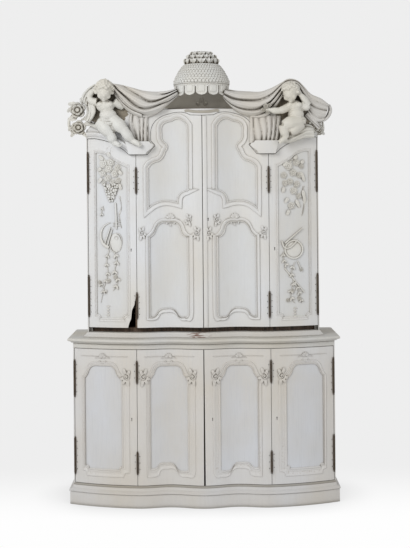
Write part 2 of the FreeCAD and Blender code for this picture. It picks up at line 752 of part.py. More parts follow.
def seated(shape, neighbours):
    """The largest solid that is left when the neighbours' room is taken away."""
    for neighbour in neighbours:
        shape = shape.cut(neighbour)
    return max(shape.Solids, key=lambda solid: solid.Volume)


both_tabs = tabs + [mirrored(tab) for tab in tabs]
swag = seated(swag, [frieze, cornice, dome, niche] + both_tabs)
folds = seated(folds, [frieze, cornice, swag])

# Carved figures that sit on the cornices. Each limb is a list of places, as shares of the figure's
# height from the middle of its seat, and a list of half widths and half depths.
arm_sizes = ((0.055, 0.055), (0.05, 0.05), (0.035, 0.035))
leg_sizes = ((0.10, 0.10), (0.085, 0.085), (0.055, 0.055), (0.04, 0.04))
thigh_sizes = ((0.10, 0.10), (0.08, 0.08))
shin_sizes = ((0.075, 0.075), (0.06, 0.06), (0.04, 0.04))
head_sizes = ((0.06, 0.07), (0.11, 0.11), (0.135, 0.14), (0.10, 0.11), (0.03, 0.03))
body_sizes = ((0.11, 0.10), (0.15, 0.13), (0.15, 0.12), (0.13, 0.10), (0.05, 0.05))
left_figure = (
    (body_sizes, ((0.01, 0.0, 0.27), (0.0, -0.02, 0.38), (0.0, 0.0, 0.52), (0.01, 0.0, 0.62),
                  (0.01, 0.0, 0.70)), 8),
    (head_sizes, ((0.0, -0.02, 0.66), (0.0, -0.02, 0.72), (0.0, -0.02, 0.82), (0.0, -0.01, 0.91),
                  (0.0, 0.0, 0.955)), 8),
    (leg_sizes, ((0.03, -0.03, 0.34), (-0.03, -0.09, 0.22), (-0.12, -0.08, 0.11),
                 (-0.21, -0.07, 0.05)), 6),
    (leg_sizes, ((-0.08, -0.03, 0.36), (-0.26, -0.08, 0.25), (-0.40, -0.07, 0.14),
                 (-0.48, -0.07, 0.07)), 6),
    (arm_sizes, ((0.10, 0.0, 0.64), (0.19, -0.04, 0.68), (0.26, -0.06, 0.75)), 6),
    (arm_sizes, ((-0.10, 0.0, 0.64), (-0.18, -0.05, 0.68), (-0.24, -0.07, 0.74)), 6))
right_figure = (
    (body_sizes, ((0.02, 0.0, 0.25), (0.02, -0.02, 0.35), (0.0, 0.0, 0.50), (-0.03, 0.0, 0.60),
                  (-0.04, 0.0, 0.68)), 8),
    (head_sizes, ((-0.06, -0.02, 0.64), (-0.07, -0.02, 0.70), (-0.07, -0.02, 0.80),
                  (-0.07, -0.01, 0.89), (-0.07, 0.0, 0.935)), 8),
    (thigh_sizes, ((0.01, -0.03, 0.29), (-0.17, -0.09, 0.31)), 6),
    (shin_sizes, ((-0.17, -0.09, 0.33), (-0.13, -0.08, 0.21), (-0.09, -0.07, 0.15)), 6),
    (leg_sizes, ((0.06, -0.03, 0.28), (-0.06, -0.09, 0.24), (-0.20, -0.08, 0.17),
                 (-0.28, -0.07, 0.13)), 6),
    (arm_sizes, ((-0.10, -0.01, 0.58), (-0.22, -0.06, 0.55), (-0.36, -0.08, 0.54)), 6),
    (arm_sizes[:2], ((0.06, 0.0, 0.62), (0.17, -0.05, 0.59)), 6),
    (arm_sizes, ((0.17, -0.05, 0.58), (0.11, -0.08, 0.67), (0.06, -0.10, 0.76)), 6))


def figure(limbs, across):
    """One seated figure, clear of the cornice, the folds and the door that swings below it."""
    x = seam_x + across * side_width
    y = upper_face + bow(x) - putto_forward_share * putto_depth
    solids = [placed_limb(points, radii, sides) for radii, points, sides in limbs]
    shape = solids[0]
    for solid in solids[1:]:
        shape = shape.fuse(solid)
    shape.translate(Vector(x, y, shoulder_height + putto_seat_share * side_door_rise))
    return seated(shape, [frieze, cornice, folds, prism(door_edge)])


left_putto = figure(left_figure, left_putto_share)
right_putto = figure(right_figure, right_putto_share)
left_swag = seated(swag, [left_putto])
right_swag = seated(swag, [right_putto])
left_putto = seated(left_putto, [left_swag])
right_putto = seated(right_putto, [right_swag])
save("putto_right", right_putto)
save("putto_left", mirrored(left_putto))
save("drapery_left", mirrored(left_swag), mirrored(folds))

# Scrolls with blossoms at the ends of the crown
blossom_radius = 46.0
scroll_depth = 34.0
scroll_stem_share = 0.7
scroll_rear_share = 0.3
scroll_shares = ((-1.0, 0.22), (0.0, 0.22), ((1.0, 0.5), (0.5, 0.9)), ((0.2, 0.6), (-1.0, 0.8)))


def blossom(x, z, share):
    radius = blossom_radius * share
    turns = [2 * math.pi * i / disc_sides for i in range(disc_sides)]
    return polygon([Vector(x + radius * math.cos(turn), 0, z + radius * math.sin(turn))
                    for turn in turns])


def end_scroll(places, neighbours):
    """Scroll that climbs from the cornice end, with blossoms as x and z shares and a size."""
    crown_rise = frieze_crest - side_roof
    stem = outline(spread(scroll_shares, upper_half, upper_half + blossom_radius,
                          side_roof, frieze_crest))
    rear = upper_face + scroll_rear_share * scroll_depth
    shape = layer(stem, upper_face - scroll_stem_share * scroll_depth, rear)
    for along, up, share in places:
        x = upper_half + along * blossom_radius
        z = side_roof + up * crown_rise
        shape = shape.fuse(layer(blossom(x, z, share), upper_face - scroll_depth, rear))
    return seated(shape, [frieze, cornice] + neighbours)


left_scroll = end_scroll(((1.07, 1.0, 1.0), (1.0, 0.38, 0.95)), [left_putto, left_swag])
save("end_scroll_left", mirrored(left_scroll))
right_scroll = end_scroll(((0.15, 0.30, 0.8), (0.7, 0.95, 0.7)), [right_putto, right_swag])
save("end_scroll_right", right_scroll)

# The cloth of the right side also covers its figure's head and falls behind the shoulder
hood_reach_share = 1.6
hood_shares = ((-0.04, 0.81, 0.16, 0.5), (0.09, 1.01, 0.26, 0.8), (0.30, 1.17, 0.26, 0.9),
               (0.50, 1.01, 0.26, 0.9), (0.71, 0.68, 0.29, 0.8), (0.89, 0.33, 0.32, 0.7),
               (1.0, 0.02, 0.22, 0.5))
hood_end = upper_half + hood_reach_share * blossom_radius
hood_rings = []
for across, up, wide, forward in hood_shares:
    x = swag_end + across * (hood_end - swag_end)
    low = frieze_crest + (up - wide / 2) * crown_room
    front = swag_depth * forward
    hood_rings.append([Vector(x, upper_face + bow(x) - front * u, low + wide * crown_room * v)
                       for u, v in swag_shares])
hood = seated(skin(hood_rings), [frieze, cornice, right_putto, right_scroll, right_swag])
save("drapery_right", right_swag, folds, hood)


# Hanging trophies on the panels of the upper side doors: a garland, an instrument and a tied stem
relief_depth = 11.0
relief_clearance = 3.0
trophy_share = 0.53
garland_half_share = 0.20
garland_shares = ((-1.0, 1.0), ((0.0, 0.86), (1.0, 1.0)), ((0.9, 0.3), (0.0, 0.0)),
                  ((-0.9, 0.3), (-1.0, 0.99)))
garland_low_share = 0.68
garland_high_share = 0.88
stem_half_share = 0.045
stem_low_share = 0.07
instrument_share = 0.43
lute_half_share = 0.15
drum_half_share = 0.17
lute_rise = 59.0
trophy_x = seam_x + trophy_share * side_width
door_rise = side_door_top - upper_door_bottom
garland_low = upper_door_bottom + garland_low_share * door_rise
garland_high = upper_door_bottom + garland_high_share * door_rise
garland_half = garland_half_share * side_width
stem_half = stem_half_share * side_width
instrument_z = upper_door_bottom + instrument_share * door_rise


def relief(faces):
    """Low carving on the panel of an upper side door, inside its moulding."""
    panel_y = upper_face + panel_set_back
    room = grown(upper_side_field, -relief_clearance)
    shape = layer(faces[0].common(room), panel_y - relief_depth, panel_y)
    for face in faces[1:]:
        shape = shape.fuse(layer(face.common(room), panel_y - relief_depth, panel_y))
    return shape.removeSplitter()


def rounded(half, rise):
    """Round body of an instrument."""
    turns = [2 * math.pi * i / disc_sides for i in range(disc_sides)]
    return polygon([Vector(trophy_x + half * math.cos(turn), 0, instrument_z + rise * math.sin(turn))
                    for turn in turns])


garland = outline(spread(garland_shares, trophy_x, trophy_x + garland_half,
                         garland_low, garland_high))
stem = rectangle(trophy_x - stem_half, trophy_x + stem_half,
                 upper_door_bottom + stem_low_share * door_rise, garland_low + garland_half)
lute = rounded(lute_half_share * side_width, lute_rise)
drum = rounded(drum_half_share * side_width, drum_half_share * side_width)
save("trophy_left", mirrored(relief([stem, garland, lute])))
save("trophy_right", relief([stem, garland, drum]))
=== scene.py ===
import math
import random
import bpy
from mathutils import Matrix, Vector, noise


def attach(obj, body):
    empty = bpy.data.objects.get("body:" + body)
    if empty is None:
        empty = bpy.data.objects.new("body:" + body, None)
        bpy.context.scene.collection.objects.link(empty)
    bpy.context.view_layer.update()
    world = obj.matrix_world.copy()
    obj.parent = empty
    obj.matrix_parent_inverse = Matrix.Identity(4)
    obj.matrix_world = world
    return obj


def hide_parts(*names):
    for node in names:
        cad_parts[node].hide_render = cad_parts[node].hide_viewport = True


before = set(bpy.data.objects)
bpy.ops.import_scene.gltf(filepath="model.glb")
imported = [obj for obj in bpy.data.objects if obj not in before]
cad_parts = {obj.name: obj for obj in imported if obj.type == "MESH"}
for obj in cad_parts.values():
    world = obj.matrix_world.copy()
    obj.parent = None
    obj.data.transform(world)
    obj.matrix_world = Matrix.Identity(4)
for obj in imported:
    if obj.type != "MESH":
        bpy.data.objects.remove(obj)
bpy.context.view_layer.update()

bpy.ops.object.select_all(action="DESELECT")

# Plinth: a bowed base board on the floor with an ogee moulding along its top.
# It is oak under old pale paint, mitred at the front corners and scuffed at the foot.
SEAM = 0.410
LOWER_HALF = 0.812
LOWER_FACE = -0.278
BACK = 0.312
SWEEP = 0.138
HOLLOW = 0.038
SLIVER = 0.0002
STONE_PAINT = (206, 203, 199)
CAP_TOP = 0.118
PLINTH_PROFILE = ((-0.006, 0.0), (0.0235, 0.0), (0.024, 0.002), (0.024, 0.0755), (0.0222, 0.079),
                  (-0.006, 0.079))
CAP_PROFILE = ((-0.006, 0.0791), (0.0226, 0.0791), (0.0280, 0.0812), (0.0298, 0.0850), (0.0290, 0.0895),
               (0.0250, 0.0925), (0.0225, 0.0945), (0.0160, 0.0985), (0.0095, 0.1015), (0.0065, 0.1060),
               (0.0052, 0.1120), (0.0036, 0.1150), (0.0034, CAP_TOP), (-0.006, CAP_TOP))


def front_depth(x):
    """How far the bowed front lies behind its middle at a place x."""
    near = abs(x)
    depth = SWEEP * (near / (2 * SEAM)) ** 3
    if near < SEAM:
        depth += HOLLOW * math.sin(math.pi * near / SEAM) ** 2
    return depth


def tone(red, green, blue):
    """A colour as it is seen, from 0 to 255, for a shader's socket."""
    shares = [part / 255 for part in (red, green, blue)]
    return tuple(((s + 0.055) / 1.055) ** 2.4 for s in shares) + (1.0,)


def old_paint(name, colour, grime_and_shade, darkening_reach, streaks=1.0, wear=0.35):
    """Old matt paint: cloudy tone, brush lines up the board, corners darkened as grime and painted shade, wood
    at worn edges.
    """
    paint = bpy.data.materials.new(name)
    paint.use_nodes = True
    nodes, links = paint.node_tree.nodes, paint.node_tree.links
    shader = nodes["Principled BSDF"]
    shader.inputs["Roughness"].default_value = 0.58
    place = nodes.new("ShaderNodeTexCoord")

    def spotted(scale, stretch, detail):
        turned = nodes.new("ShaderNodeMapping")
        turned.inputs["Scale"].default_value = stretch
        spots = nodes.new("ShaderNodeTexNoise")
        spots.inputs["Scale"].default_value = scale
        spots.inputs["Detail"].default_value = detail
        links.new(place.outputs["Object"], turned.inputs["Vector"])
        links.new(turned.outputs["Vector"], spots.inputs["Vector"])
        return spots.outputs["Fac"]

    def limited(value, low, high):
        ramp = nodes.new("ShaderNodeMapRange")
        ramp.inputs["From Min"].default_value = low
        ramp.inputs["From Max"].default_value = high
        links.new(value, ramp.inputs["Value"])
        return ramp.outputs["Result"]

    def mixed(share, first, second):
        mix = nodes.new("ShaderNodeMix")
        mix.data_type = "RGBA"
        links.new(share, mix.inputs["Factor"])
        for socket, value in ((mix.inputs["A"], first), (mix.inputs["B"], second)):
            if isinstance(value, tuple):
                socket.default_value = value
            else:
                links.new(value, socket)
        return mix.outputs["Result"]

    def times(first, second):
        product = nodes.new("ShaderNodeMath")
        product.operation = "MULTIPLY"
        links.new(first, product.inputs[0])
        if isinstance(second, float):
            product.inputs[1].default_value = second
        else:
            links.new(second, product.inputs[1])
        return product.outputs["Value"]

    clouds = spotted(2.6, (1.0, 1.0, 0.7), 4.0)
    brush = spotted(9.0, (16.0, 16.0, 0.9), 5.0)
    specks = spotted(150.0, (1.0, 1.0, 0.6), 2.0)
    warm = tuple(value * share for value, share in zip(tone(*colour)[:3], (0.95, 0.92, 0.86))) + (1.0,)
    cool = tuple(value * share for value, share in zip(tone(*colour)[:3], (1.0, 1.02, 1.05))) + (1.0,)
    base = mixed(limited(clouds, 0.35, 0.68), warm, cool)
    dull = tuple(value * 0.86 for value in tone(*colour)[:3]) + (1.0,)
    base = mixed(times(limited(brush, 0.50, 0.85), 0.55 * streaks), base, dull)
    # Grime and painted shade: ambient occlusion darkens corners and recesses towards the grime colour.
    corners = nodes.new("ShaderNodeAmbientOcclusion")
    corners.samples = 6
    corners.inputs["Distance"].default_value = darkening_reach
    depth = limited(corners.outputs["AO"], 0.85, 0.25)
    base = mixed(times(depth, 0.9), base, tone(*grime_and_shade))
    edges = nodes.new("ShaderNodeAmbientOcclusion")
    edges.samples = 4
    edges.inside = True
    edges.inputs["Distance"].default_value = 0.004
    worn = times(limited(edges.outputs["AO"], 0.62, 0.35), limited(specks, 0.52, 0.66))
    worn = times(worn, limited(clouds, 0.45, 0.62))
    base = mixed(times(worn, wear), base, tone(148, 128, 104))
    links.new(base, shader.inputs["Base Color"])
    relief = nodes.new("ShaderNodeBump")
    relief.inputs["Strength"].default_value = 0.25
    relief.inputs["Distance"].default_value = 0.0006
    links.new(brush, relief.inputs["Height"])
    grit = nodes.new("ShaderNodeBump")
    grit.inputs["Strength"].default_value = 0.12
    grit.inputs["Distance"].default_value = 0.0004
    links.new(specks, grit.inputs["Height"])
    links.new(relief.outputs["Normal"], grit.inputs["Normal"])
    links.new(grit.outputs["Normal"], shader.inputs["Normal"])
    return paint


def run_out(name, rings, closed=True, capped=True):
    """A grid drawn out through rings of points, as a moulding is run. The first ring is its first row."""
    rings = [list(ring) + ([ring[0]] if closed else []) for ring in rings]
    bpy.ops.object.select_all(action="DESELECT")
    bpy.ops.mesh.primitive_grid_add(x_subdivisions=len(rings[0]) - 1, y_subdivisions=len(rings) - 1)
    piece = bpy.context.object
    piece.name = name
    for vertex, spot in zip(piece.data.vertices, [spot for ring in rings for spot in ring]):
        vertex.co = spot
    bpy.ops.object.mode_set(mode="EDIT")
    bpy.ops.mesh.select_all(action="SELECT")
    bpy.ops.mesh.remove_doubles(threshold=SLIVER / 10)
    if capped:
        bpy.ops.mesh.select_all(action="DESELECT")
        bpy.ops.mesh.select_mode(type="EDGE")
        bpy.ops.mesh.select_non_manifold(extend=False)
        bpy.ops.mesh.edge_face_add()
    bpy.ops.mesh.select_all(action="SELECT")
    bpy.ops.mesh.normals_make_consistent(inside=False)
    bpy.ops.object.mode_set(mode="OBJECT")
    return piece


def bowed_path(half, out, face, rear, steps=64):
    """The plan of a board from its back left corner, round the bowed front and to its back right."""
    end = half + out
    spots = [(-end, rear)]
    for i in range(steps + 1):
        x = end * (2 * i / steps - 1)
        spots.append((x, face - out + front_depth(x)))
    return spots + [(end, rear)]


def edge_moulded(name, profile, half, face, rear=BACK):
    """A board whose edge follows a profile of overhangs and heights round three sides."""
    rings = [[Vector((x, y, z)) for x, y in bowed_path(half, out, face, rear)] for out, z in profile]
    if profile[0][0] < 0:
        return run_out(name, rings + [rings[0]], capped=False)
    return run_out(name, rings)


def smooth(piece, angle=32.0):
    bpy.ops.object.select_all(action="DESELECT")
    piece.select_set(True)
    bpy.context.view_layer.objects.active = piece
    bpy.ops.object.shade_smooth_by_angle(angle=math.radians(angle))


def fix(piece, material, slot, body, *nodes, angle=32.0):
    """The piece gets its finish, and stands for its CAD nodes on its body."""
    smooth(piece, angle)
    piece.data.materials.clear()
    piece.data.materials.append(material)
    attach(piece, body)
    if nodes:
        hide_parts(*nodes)
    return piece


# After each paint's own colour come the colour and reach of the grime and painted shade in its corners.
stone_paint = old_paint("stone_grey_paint", STONE_PAINT, (92, 84, 70), 0.030)
plinth = edge_moulded("plinth_board", PLINTH_PROFILE, LOWER_HALF, LOWER_FACE)
fix(plinth, stone_paint, "paint", "root", "plinth")
cap = edge_moulded("plinth_moulding", CAP_PROFILE, LOWER_HALF, LOWER_FACE)
fix(cap, stone_paint, "paint", "root", "plinth_cap")

# Case boards: the sides, floors, partitions and shelves are plain sawn boards housed in each other.
# Outside they carry the same pale paint as the front, and inside and behind they are bare aged wood, darkened
# as painted shade where it shows in the gaps; the lower floor is painted grey instead.


def bare_wood(name, light, dark):
    """Aged board: long grain, dark pores and a dusty surface."""
    wood = bpy.data.materials.new(name)
    wood.use_nodes = True
    nodes, links = wood.node_tree.nodes, wood.node_tree.links
    shader = nodes["Principled BSDF"]
    shader.inputs["Roughness"].default_value = 0.72
    place = nodes.new("ShaderNodeTexCoord")
    turned = nodes.new("ShaderNodeMapping")
    turned.inputs["Scale"].default_value = (14.0, 14.0, 0.9)
    grain = nodes.new("ShaderNodeTexNoise")
    grain.inputs["Scale"].default_value = 5.0
    grain.inputs["Detail"].default_value = 8.0
    grain.inputs["Distortion"].default_value = 0.6
    ramp = nodes.new("ShaderNodeValToRGB")
    ramp.color_ramp.elements[0].color = tone(*dark)
    ramp.color_ramp.elements[0].position = 0.32
    ramp.color_ramp.elements[1].color = tone(*light)
    ramp.color_ramp.elements[1].position = 0.66
    relief = nodes.new("ShaderNodeBump")
    relief.inputs["Strength"].default_value = 0.3
    relief.inputs["Distance"].default_value = 0.0008
    links.new(place.outputs["Object"], turned.inputs["Vector"])
    links.new(turned.outputs["Vector"], grain.inputs["Vector"])
    links.new(grain.outputs["Fac"], ramp.inputs["Fac"])
    links.new(ramp.outputs["Color"], shader.inputs["Base Color"])
    links.new(grain.outputs["Fac"], relief.inputs["Height"])
    links.new(relief.outputs["Normal"], shader.inputs["Normal"])
    return wood


# Aged wood tone, made darker as painted shade so that the gaps round the doors read as shadow.
shaded_inside_wood = bare_wood("aged_inside_wood", (98, 80, 64), (52, 41, 32))
for node in ("lower_back", "lower_partitions", "lower_shelf", "upper_floor", "upper_back",
             "upper_partitions", "upper_shelves", "upper_tops"):
    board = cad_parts[node]
    board.data.materials.clear()
    board.data.materials.append(shaded_inside_wood)
# The lower floor's front shows in the gap under the lower doors; its darker grey paint is painted shade for
# the shadow there.
floor_shade_paint = old_paint("lower_floor_paint", (168, 163, 154), (84, 76, 64), 0.030)
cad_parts["lower_floor"].data.materials.clear()
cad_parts["lower_floor"].data.materials.append(floor_shade_paint)
for node in ("lower_side_left", "lower_side_right", "upper_side_left", "upper_side_right"):
    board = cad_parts[node]
    board.data.materials.clear()
    board.data.materials.append(stone_paint)

# Waist: a rail over the lower doors, the moulded top board of the lower part, and the spreading
# foot of the upper part that stands on it. The ledge is rubbed down to brown wood in the middle.
RAIL_BOTTOM = 0.966
WAIST_BOTTOM = 0.997
WAIST_TOP = 1.027
SKIRT_TOP = 1.058
UPPER_HALF = 0.723
UPPER_FACE = -0.198
REST_LINE = 0.0275
WAIST_PROFILE = ((0.003, WAIST_BOTTOM), (0.0090, 0.9982), (0.0120, 1.0010), (0.0150, 1.0045),
                 (0.0215, 1.0068),
                 (0.0290, 1.0085), (0.0322, 1.0110), (0.0340, 1.0150), (0.0338, 1.0190), (0.0320, 1.0225),
                 (0.0285, 1.0252), (0.0240, 1.0265), (0.0180, WAIST_TOP))
SKIRT_PROFILE = ((0.0270, WAIST_TOP + SLIVER), (0.0270, 1.0318), (0.0255, 1.0335), (0.0225, 1.0350),
                 (0.0205, 1.0375), (0.0150, 1.0428), (0.0100, 1.0470), (0.0070, 1.0512), (0.0060, 1.0540),
                 (0.0034, 1.0550), (0.0032, SKIRT_TOP))


def bent_strip(name, profile, half, face, steps=72):
    """A strip of one cross-section along the bowed front. The section gives depths and heights."""
    rings = []
    for i in range(steps + 1):
        x = half * (2 * i / steps - 1)
        rings.append([Vector((x, face + front_depth(x) + back, z)) for back, z in profile])
    return run_out(name, rings)


def rub_through(material, middle, half, wood):
    """The paint is rubbed through to the wood in ragged streaks near one place across the front."""
    nodes, links = material.node_tree.nodes, material.node_tree.links
    target = nodes["Principled BSDF"].inputs["Base Color"]
    under = target.links[0].from_socket
    place = nodes.new("ShaderNodeTexCoord")
    parts = nodes.new("ShaderNodeSeparateXYZ")
    links.new(place.outputs["Object"], parts.inputs["Vector"])
    off = nodes.new("ShaderNodeMath")
    off.operation = "SUBTRACT"
    off.inputs[1].default_value = middle
    links.new(parts.outputs["X"], off.inputs[0])
    size = nodes.new("ShaderNodeMath")
    size.operation = "ABSOLUTE"
    links.new(off.outputs["Value"], size.inputs[0])
    near = nodes.new("ShaderNodeMapRange")
    near.inputs["From Min"].default_value = half
    near.inputs["From Max"].default_value = half * 0.4
    links.new(size.outputs["Value"], near.inputs["Value"])
    stretched = nodes.new("ShaderNodeMapping")
    stretched.inputs["Scale"].default_value = (1.0, 6.0, 9.0)
    links.new(place.outputs["Object"], stretched.inputs["Vector"])
    ragged = nodes.new("ShaderNodeTexNoise")
    ragged.inputs["Scale"].default_value = 14.0
    ragged.inputs["Detail"].default_value = 6.0
    links.new(stretched.outputs["Vector"], ragged.inputs["Vector"])
    cut = nodes.new("ShaderNodeMapRange")
    cut.inputs["From Min"].default_value = 0.50
    cut.inputs["From Max"].default_value = 0.56
    links.new(ragged.outputs["Fac"], cut.inputs["Value"])
    both = nodes.new("ShaderNodeMath")
    both.operation = "MULTIPLY"
    links.new(near.outputs["Result"], both.inputs[0])
    links.new(cut.outputs["Result"], both.inputs[1])
    mix = nodes.new("ShaderNodeMix")
    mix.data_type = "RGBA"
    links.new(both.outputs["Value"], mix.inputs["Factor"])
    links.new(under, mix.inputs["A"])
    mix.inputs["B"].default_value = tone(*wood)
    links.new(mix.outputs["Result"], target)


ledge_paint = old_paint("ledge_paint", (206, 203, 196), (96, 84, 66), 0.026, wear=0.8)
rail = bent_strip("rail_over_lower_doors",
                  ((0.0, RAIL_BOTTOM), (REST_LINE, RAIL_BOTTOM), (REST_LINE, WAIST_BOTTOM),
                   (0.0, WAIST_BOTTOM),
                   (0.0, 0.9935), (-0.0016, 0.9925), (-0.0022, 0.9905), (-0.0016, 0.9885), (0.0, 0.9875),
                   (0.0, 0.9700), (0.0012, 0.9672)), LOWER_HALF - 0.007, LOWER_FACE)
fix(rail, ledge_paint, "paint", "root", "lower_top_rail")
waist = edge_moulded("waist_board", WAIST_PROFILE, LOWER_HALF, LOWER_FACE)
fix(waist, ledge_paint, "paint", "root", "waist_top")
skirt = edge_moulded("upper_foot_moulding", SKIRT_PROFILE, UPPER_HALF, UPPER_FACE)
foot_paint = old_paint("foot_moulding_paint", (208, 205, 200), (88, 78, 62), 0.030, wear=0.8)
rub_through(foot_paint, -0.03, 0.085, (122, 92, 80))
fix(skirt, foot_paint, "paint", "root", "upper_base")

# Lower doors: four bowed leaves of framed oak. Each has one shaped field with a run moulding,
# a small shell over the field, and leaf scrolls where the moulding turns. Paint is thin and streaky.
LOWER_BOTTOM = 0.134
LOWER_TOP = 0.963
DOOR_THICKNESS = 0.026
GAP = 0.003
BEND_STEP = 0.020
MITRE_LIMIT = 0.45
FRAME_PAINT = (212, 209, 205)
FIELD_PAINT = (208, 208, 209)
# a moulding's profile: share of its width, and height above the door's face
LOWER_MOULDING = ((-0.03, -0.0060), (0.0, -0.0035), (0.04, 0.0006), (0.10, 0.0026), (0.16, 0.0008),
                  (0.20, -0.0014),
                  (0.32, -0.0016), (0.48, -0.0004), (0.62, 0.0010), (0.74, 0.0030), (0.84, 0.0046),
                  (0.92, 0.0040),
                  (0.98, 0.0012), (1.0, -0.0002))
LOWER_CENTRE_FIELD = (("line", 0.244, 0.135), ("arc", 0.255, 0.104, 0.316, 0.102),
                      ("arc", 0.390, 0.106, 0.428, 0.129),
                      ("arc", 0.475, 0.156, 0.560, 0.160), ("arc", 0.655, 0.158, 0.700, 0.138),
                      ("arc", 0.745, 0.122, 0.800, 0.125), ("line", 0.800, 0.785),
                      ("arc", 0.765, 0.802, 0.735, 0.830),
                      ("arc", 0.690, 0.868, 0.600, 0.876), ("line", 0.450, 0.876),
                      ("arc", 0.365, 0.868, 0.320, 0.830),
                      ("arc", 0.290, 0.800, 0.244, 0.785))
LOWER_CENTRE_EDGE = (("line", 0.125, 0.135), ("arc", 0.150, 0.062, 0.244, 0.056),
                     ("arc", 0.325, 0.054, 0.372, 0.066),
                     ("arc", 0.450, 0.108, 0.554, 0.111), ("arc", 0.640, 0.108, 0.675, 0.078),
                     ("arc", 0.720, 0.057, 0.862, 0.055), ("line", 0.862, 0.792),
                     ("arc", 0.825, 0.815, 0.785, 0.862),
                     ("arc", 0.720, 0.902, 0.610, 0.909), ("line", 0.440, 0.909),
                     ("arc", 0.335, 0.900, 0.270, 0.862),
                     ("arc", 0.215, 0.812, 0.125, 0.792))
LOWER_SIDE_FIELD = (("line", 0.290, 0.112), ("line", 0.775, 0.112), ("arc", 0.785, 0.130, 0.830, 0.133),
                    ("line", 0.830, 0.785), ("arc", 0.800, 0.800, 0.765, 0.835),
                    ("arc", 0.715, 0.868, 0.620, 0.876),
                    ("line", 0.470, 0.876), ("arc", 0.385, 0.868, 0.335, 0.830),
                    ("arc", 0.300, 0.798, 0.243, 0.785),
                    ("line", 0.243, 0.133), ("arc", 0.280, 0.130, 0.290, 0.112))
LOWER_SIDE_EDGE = (("line", 0.215, 0.053), ("line", 0.812, 0.053), ("arc", 0.828, 0.084, 0.874, 0.090),
                   ("line", 0.884, 0.792), ("arc", 0.845, 0.815, 0.805, 0.862),
                   ("arc", 0.735, 0.902, 0.630, 0.909),
                   ("line", 0.460, 0.909), ("arc", 0.355, 0.900, 0.290, 0.860),
                   ("arc", 0.230, 0.812, 0.113, 0.792),
                   ("line", 0.113, 0.090), ("arc", 0.185, 0.084, 0.215, 0.053))


def drawn_line(steps, x0, x1, z0, z1, spacing=0.006, counts=None):
    """Points round a shaped outline, from shares of a door's width and height. An arc names its middle."""
    def place(x, z):
        return Vector((x0 + x * (x1 - x0), 0, z0 + z * (z1 - z0)))
    spots = [place(*steps[0][1:])]
    for k, step in enumerate(list(steps[1:]) + [("line",) + tuple(steps[0][1:])]):
        start = spots[-1]
        end = place(*step[-2:])
        count = counts[k] if counts else max(1, round((end - start).length / spacing))
        for i in range(1, count + 1):
            share = i / count
            if step[0] == "arc":
                middle = place(*step[1:3])
                pull = 2 * middle - (start + end) / 2
                spots.append(start * (1 - share) ** 2 + pull * 2 * share * (1 - share) + end * share ** 2)
            else:
                spots.append(start.lerp(end, share))
    return spots[:-1]


def field_and_edge(field_steps, edge_steps, x0, x1, z0, z1, side, spacing=0.006):
    """The edge of a field, and the outer edge of its moulding with the same number of points."""
    corners = [Vector((step[-2] * (x1 - x0), 0, step[-1] * (z1 - z0))) for step in field_steps]
    counts = [max(2, round((b - a).length / spacing)) for a, b in zip(corners, corners[1:] + corners[:1])]
    return [mirrored(drawn_line(steps, x0, x1, z0, z1, spacing, counts), side)
            for steps in (field_steps, edge_steps)]


def turned_left(outline):
    """Whether the outline runs anticlockwise, seen from the front."""
    area = 0.0
    for a, b in zip(outline, outline[1:] + outline[:1]):
        area += a.x * b.z - b.x * a.z
    return area > 0


def set_off(outline, amount):
    """The outline moved outwards by an amount, with mitred corners."""
    way = 1.0 if turned_left(outline) else -1.0
    moved = []
    count = len(outline)
    for i, spot in enumerate(outline):
        before = (spot - outline[i - 1]).normalized()
        after = (outline[(i + 1) % count] - spot).normalized()
        normal = Vector((before.z + after.z, 0, -before.x - after.x)) * way
        if normal.length < SLIVER:
            moved.append(spot.copy())
            continue
        normal.normalize()
        lean = max(MITRE_LIMIT, normal.dot(Vector((before.z, 0, -before.x)) * way))
        moved.append(spot + normal * amount / lean)
    return moved


def bend_back(piece, face):
    """A flat piece is laid on the bowed front."""
    for vertex in piece.data.vertices:
        vertex.co.y += face + front_depth(vertex.co.x)


def sawn_board(name, outlines, thickness, face):
    """A board cut to its outline, with openings, laid on the bowed front. Its face is at the given depth."""
    bpy.ops.object.select_all(action="DESELECT")
    parts = []
    for outline in outlines:
        bpy.ops.mesh.primitive_circle_add(vertices=len(outline), radius=0.1)
        parts.append(bpy.context.object)
        for vertex, spot in zip(parts[-1].data.vertices, outline):
            vertex.co = spot
        parts[-1].location = (0, 0, 0)
    for part in parts:
        part.select_set(True)
    if len(parts) > 1:
        bpy.ops.object.join()
    piece = bpy.context.object
    piece.name = name
    bpy.ops.object.mode_set(mode="EDIT")
    bpy.ops.mesh.select_all(action="SELECT")
    bpy.ops.mesh.fill(use_beauty=True)
    left = min(spot.x for spot in outlines[0])
    right = max(spot.x for spot in outlines[0])
    cuts = int((right - left) / BEND_STEP)
    for i in range(1, cuts + 1):
        bpy.ops.mesh.select_all(action="SELECT")
        bpy.ops.mesh.bisect(plane_co=(left + i * (right - left) / (cuts + 1), 0, 0), plane_no=(1, 0, 0))
    bpy.ops.mesh.select_all(action="SELECT")
    bpy.ops.mesh.dissolve_limited(angle_limit=math.radians(0.1), use_dissolve_boundaries=False,
                                  delimit=set())
    for i in range(1, cuts + 1):
        bpy.ops.mesh.select_all(action="SELECT")
        bpy.ops.mesh.bisect(plane_co=(left + i * (right - left) / (cuts + 1), 0, 0), plane_no=(1, 0, 0))
    bpy.ops.mesh.select_all(action="SELECT")
    bpy.ops.mesh.extrude_region_move(TRANSFORM_OT_translate={"value": (0, thickness, 0)})
    bpy.ops.mesh.select_all(action="SELECT")
    bpy.ops.mesh.normals_make_consistent(inside=False)
    bpy.ops.object.mode_set(mode="OBJECT")
    bend_back(piece, face)
    return piece


def between(inner, outer, share):
    """The line at a share of the way from one outline to another."""
    return [a.lerp(b, share) for a, b in zip(inner, outer)]


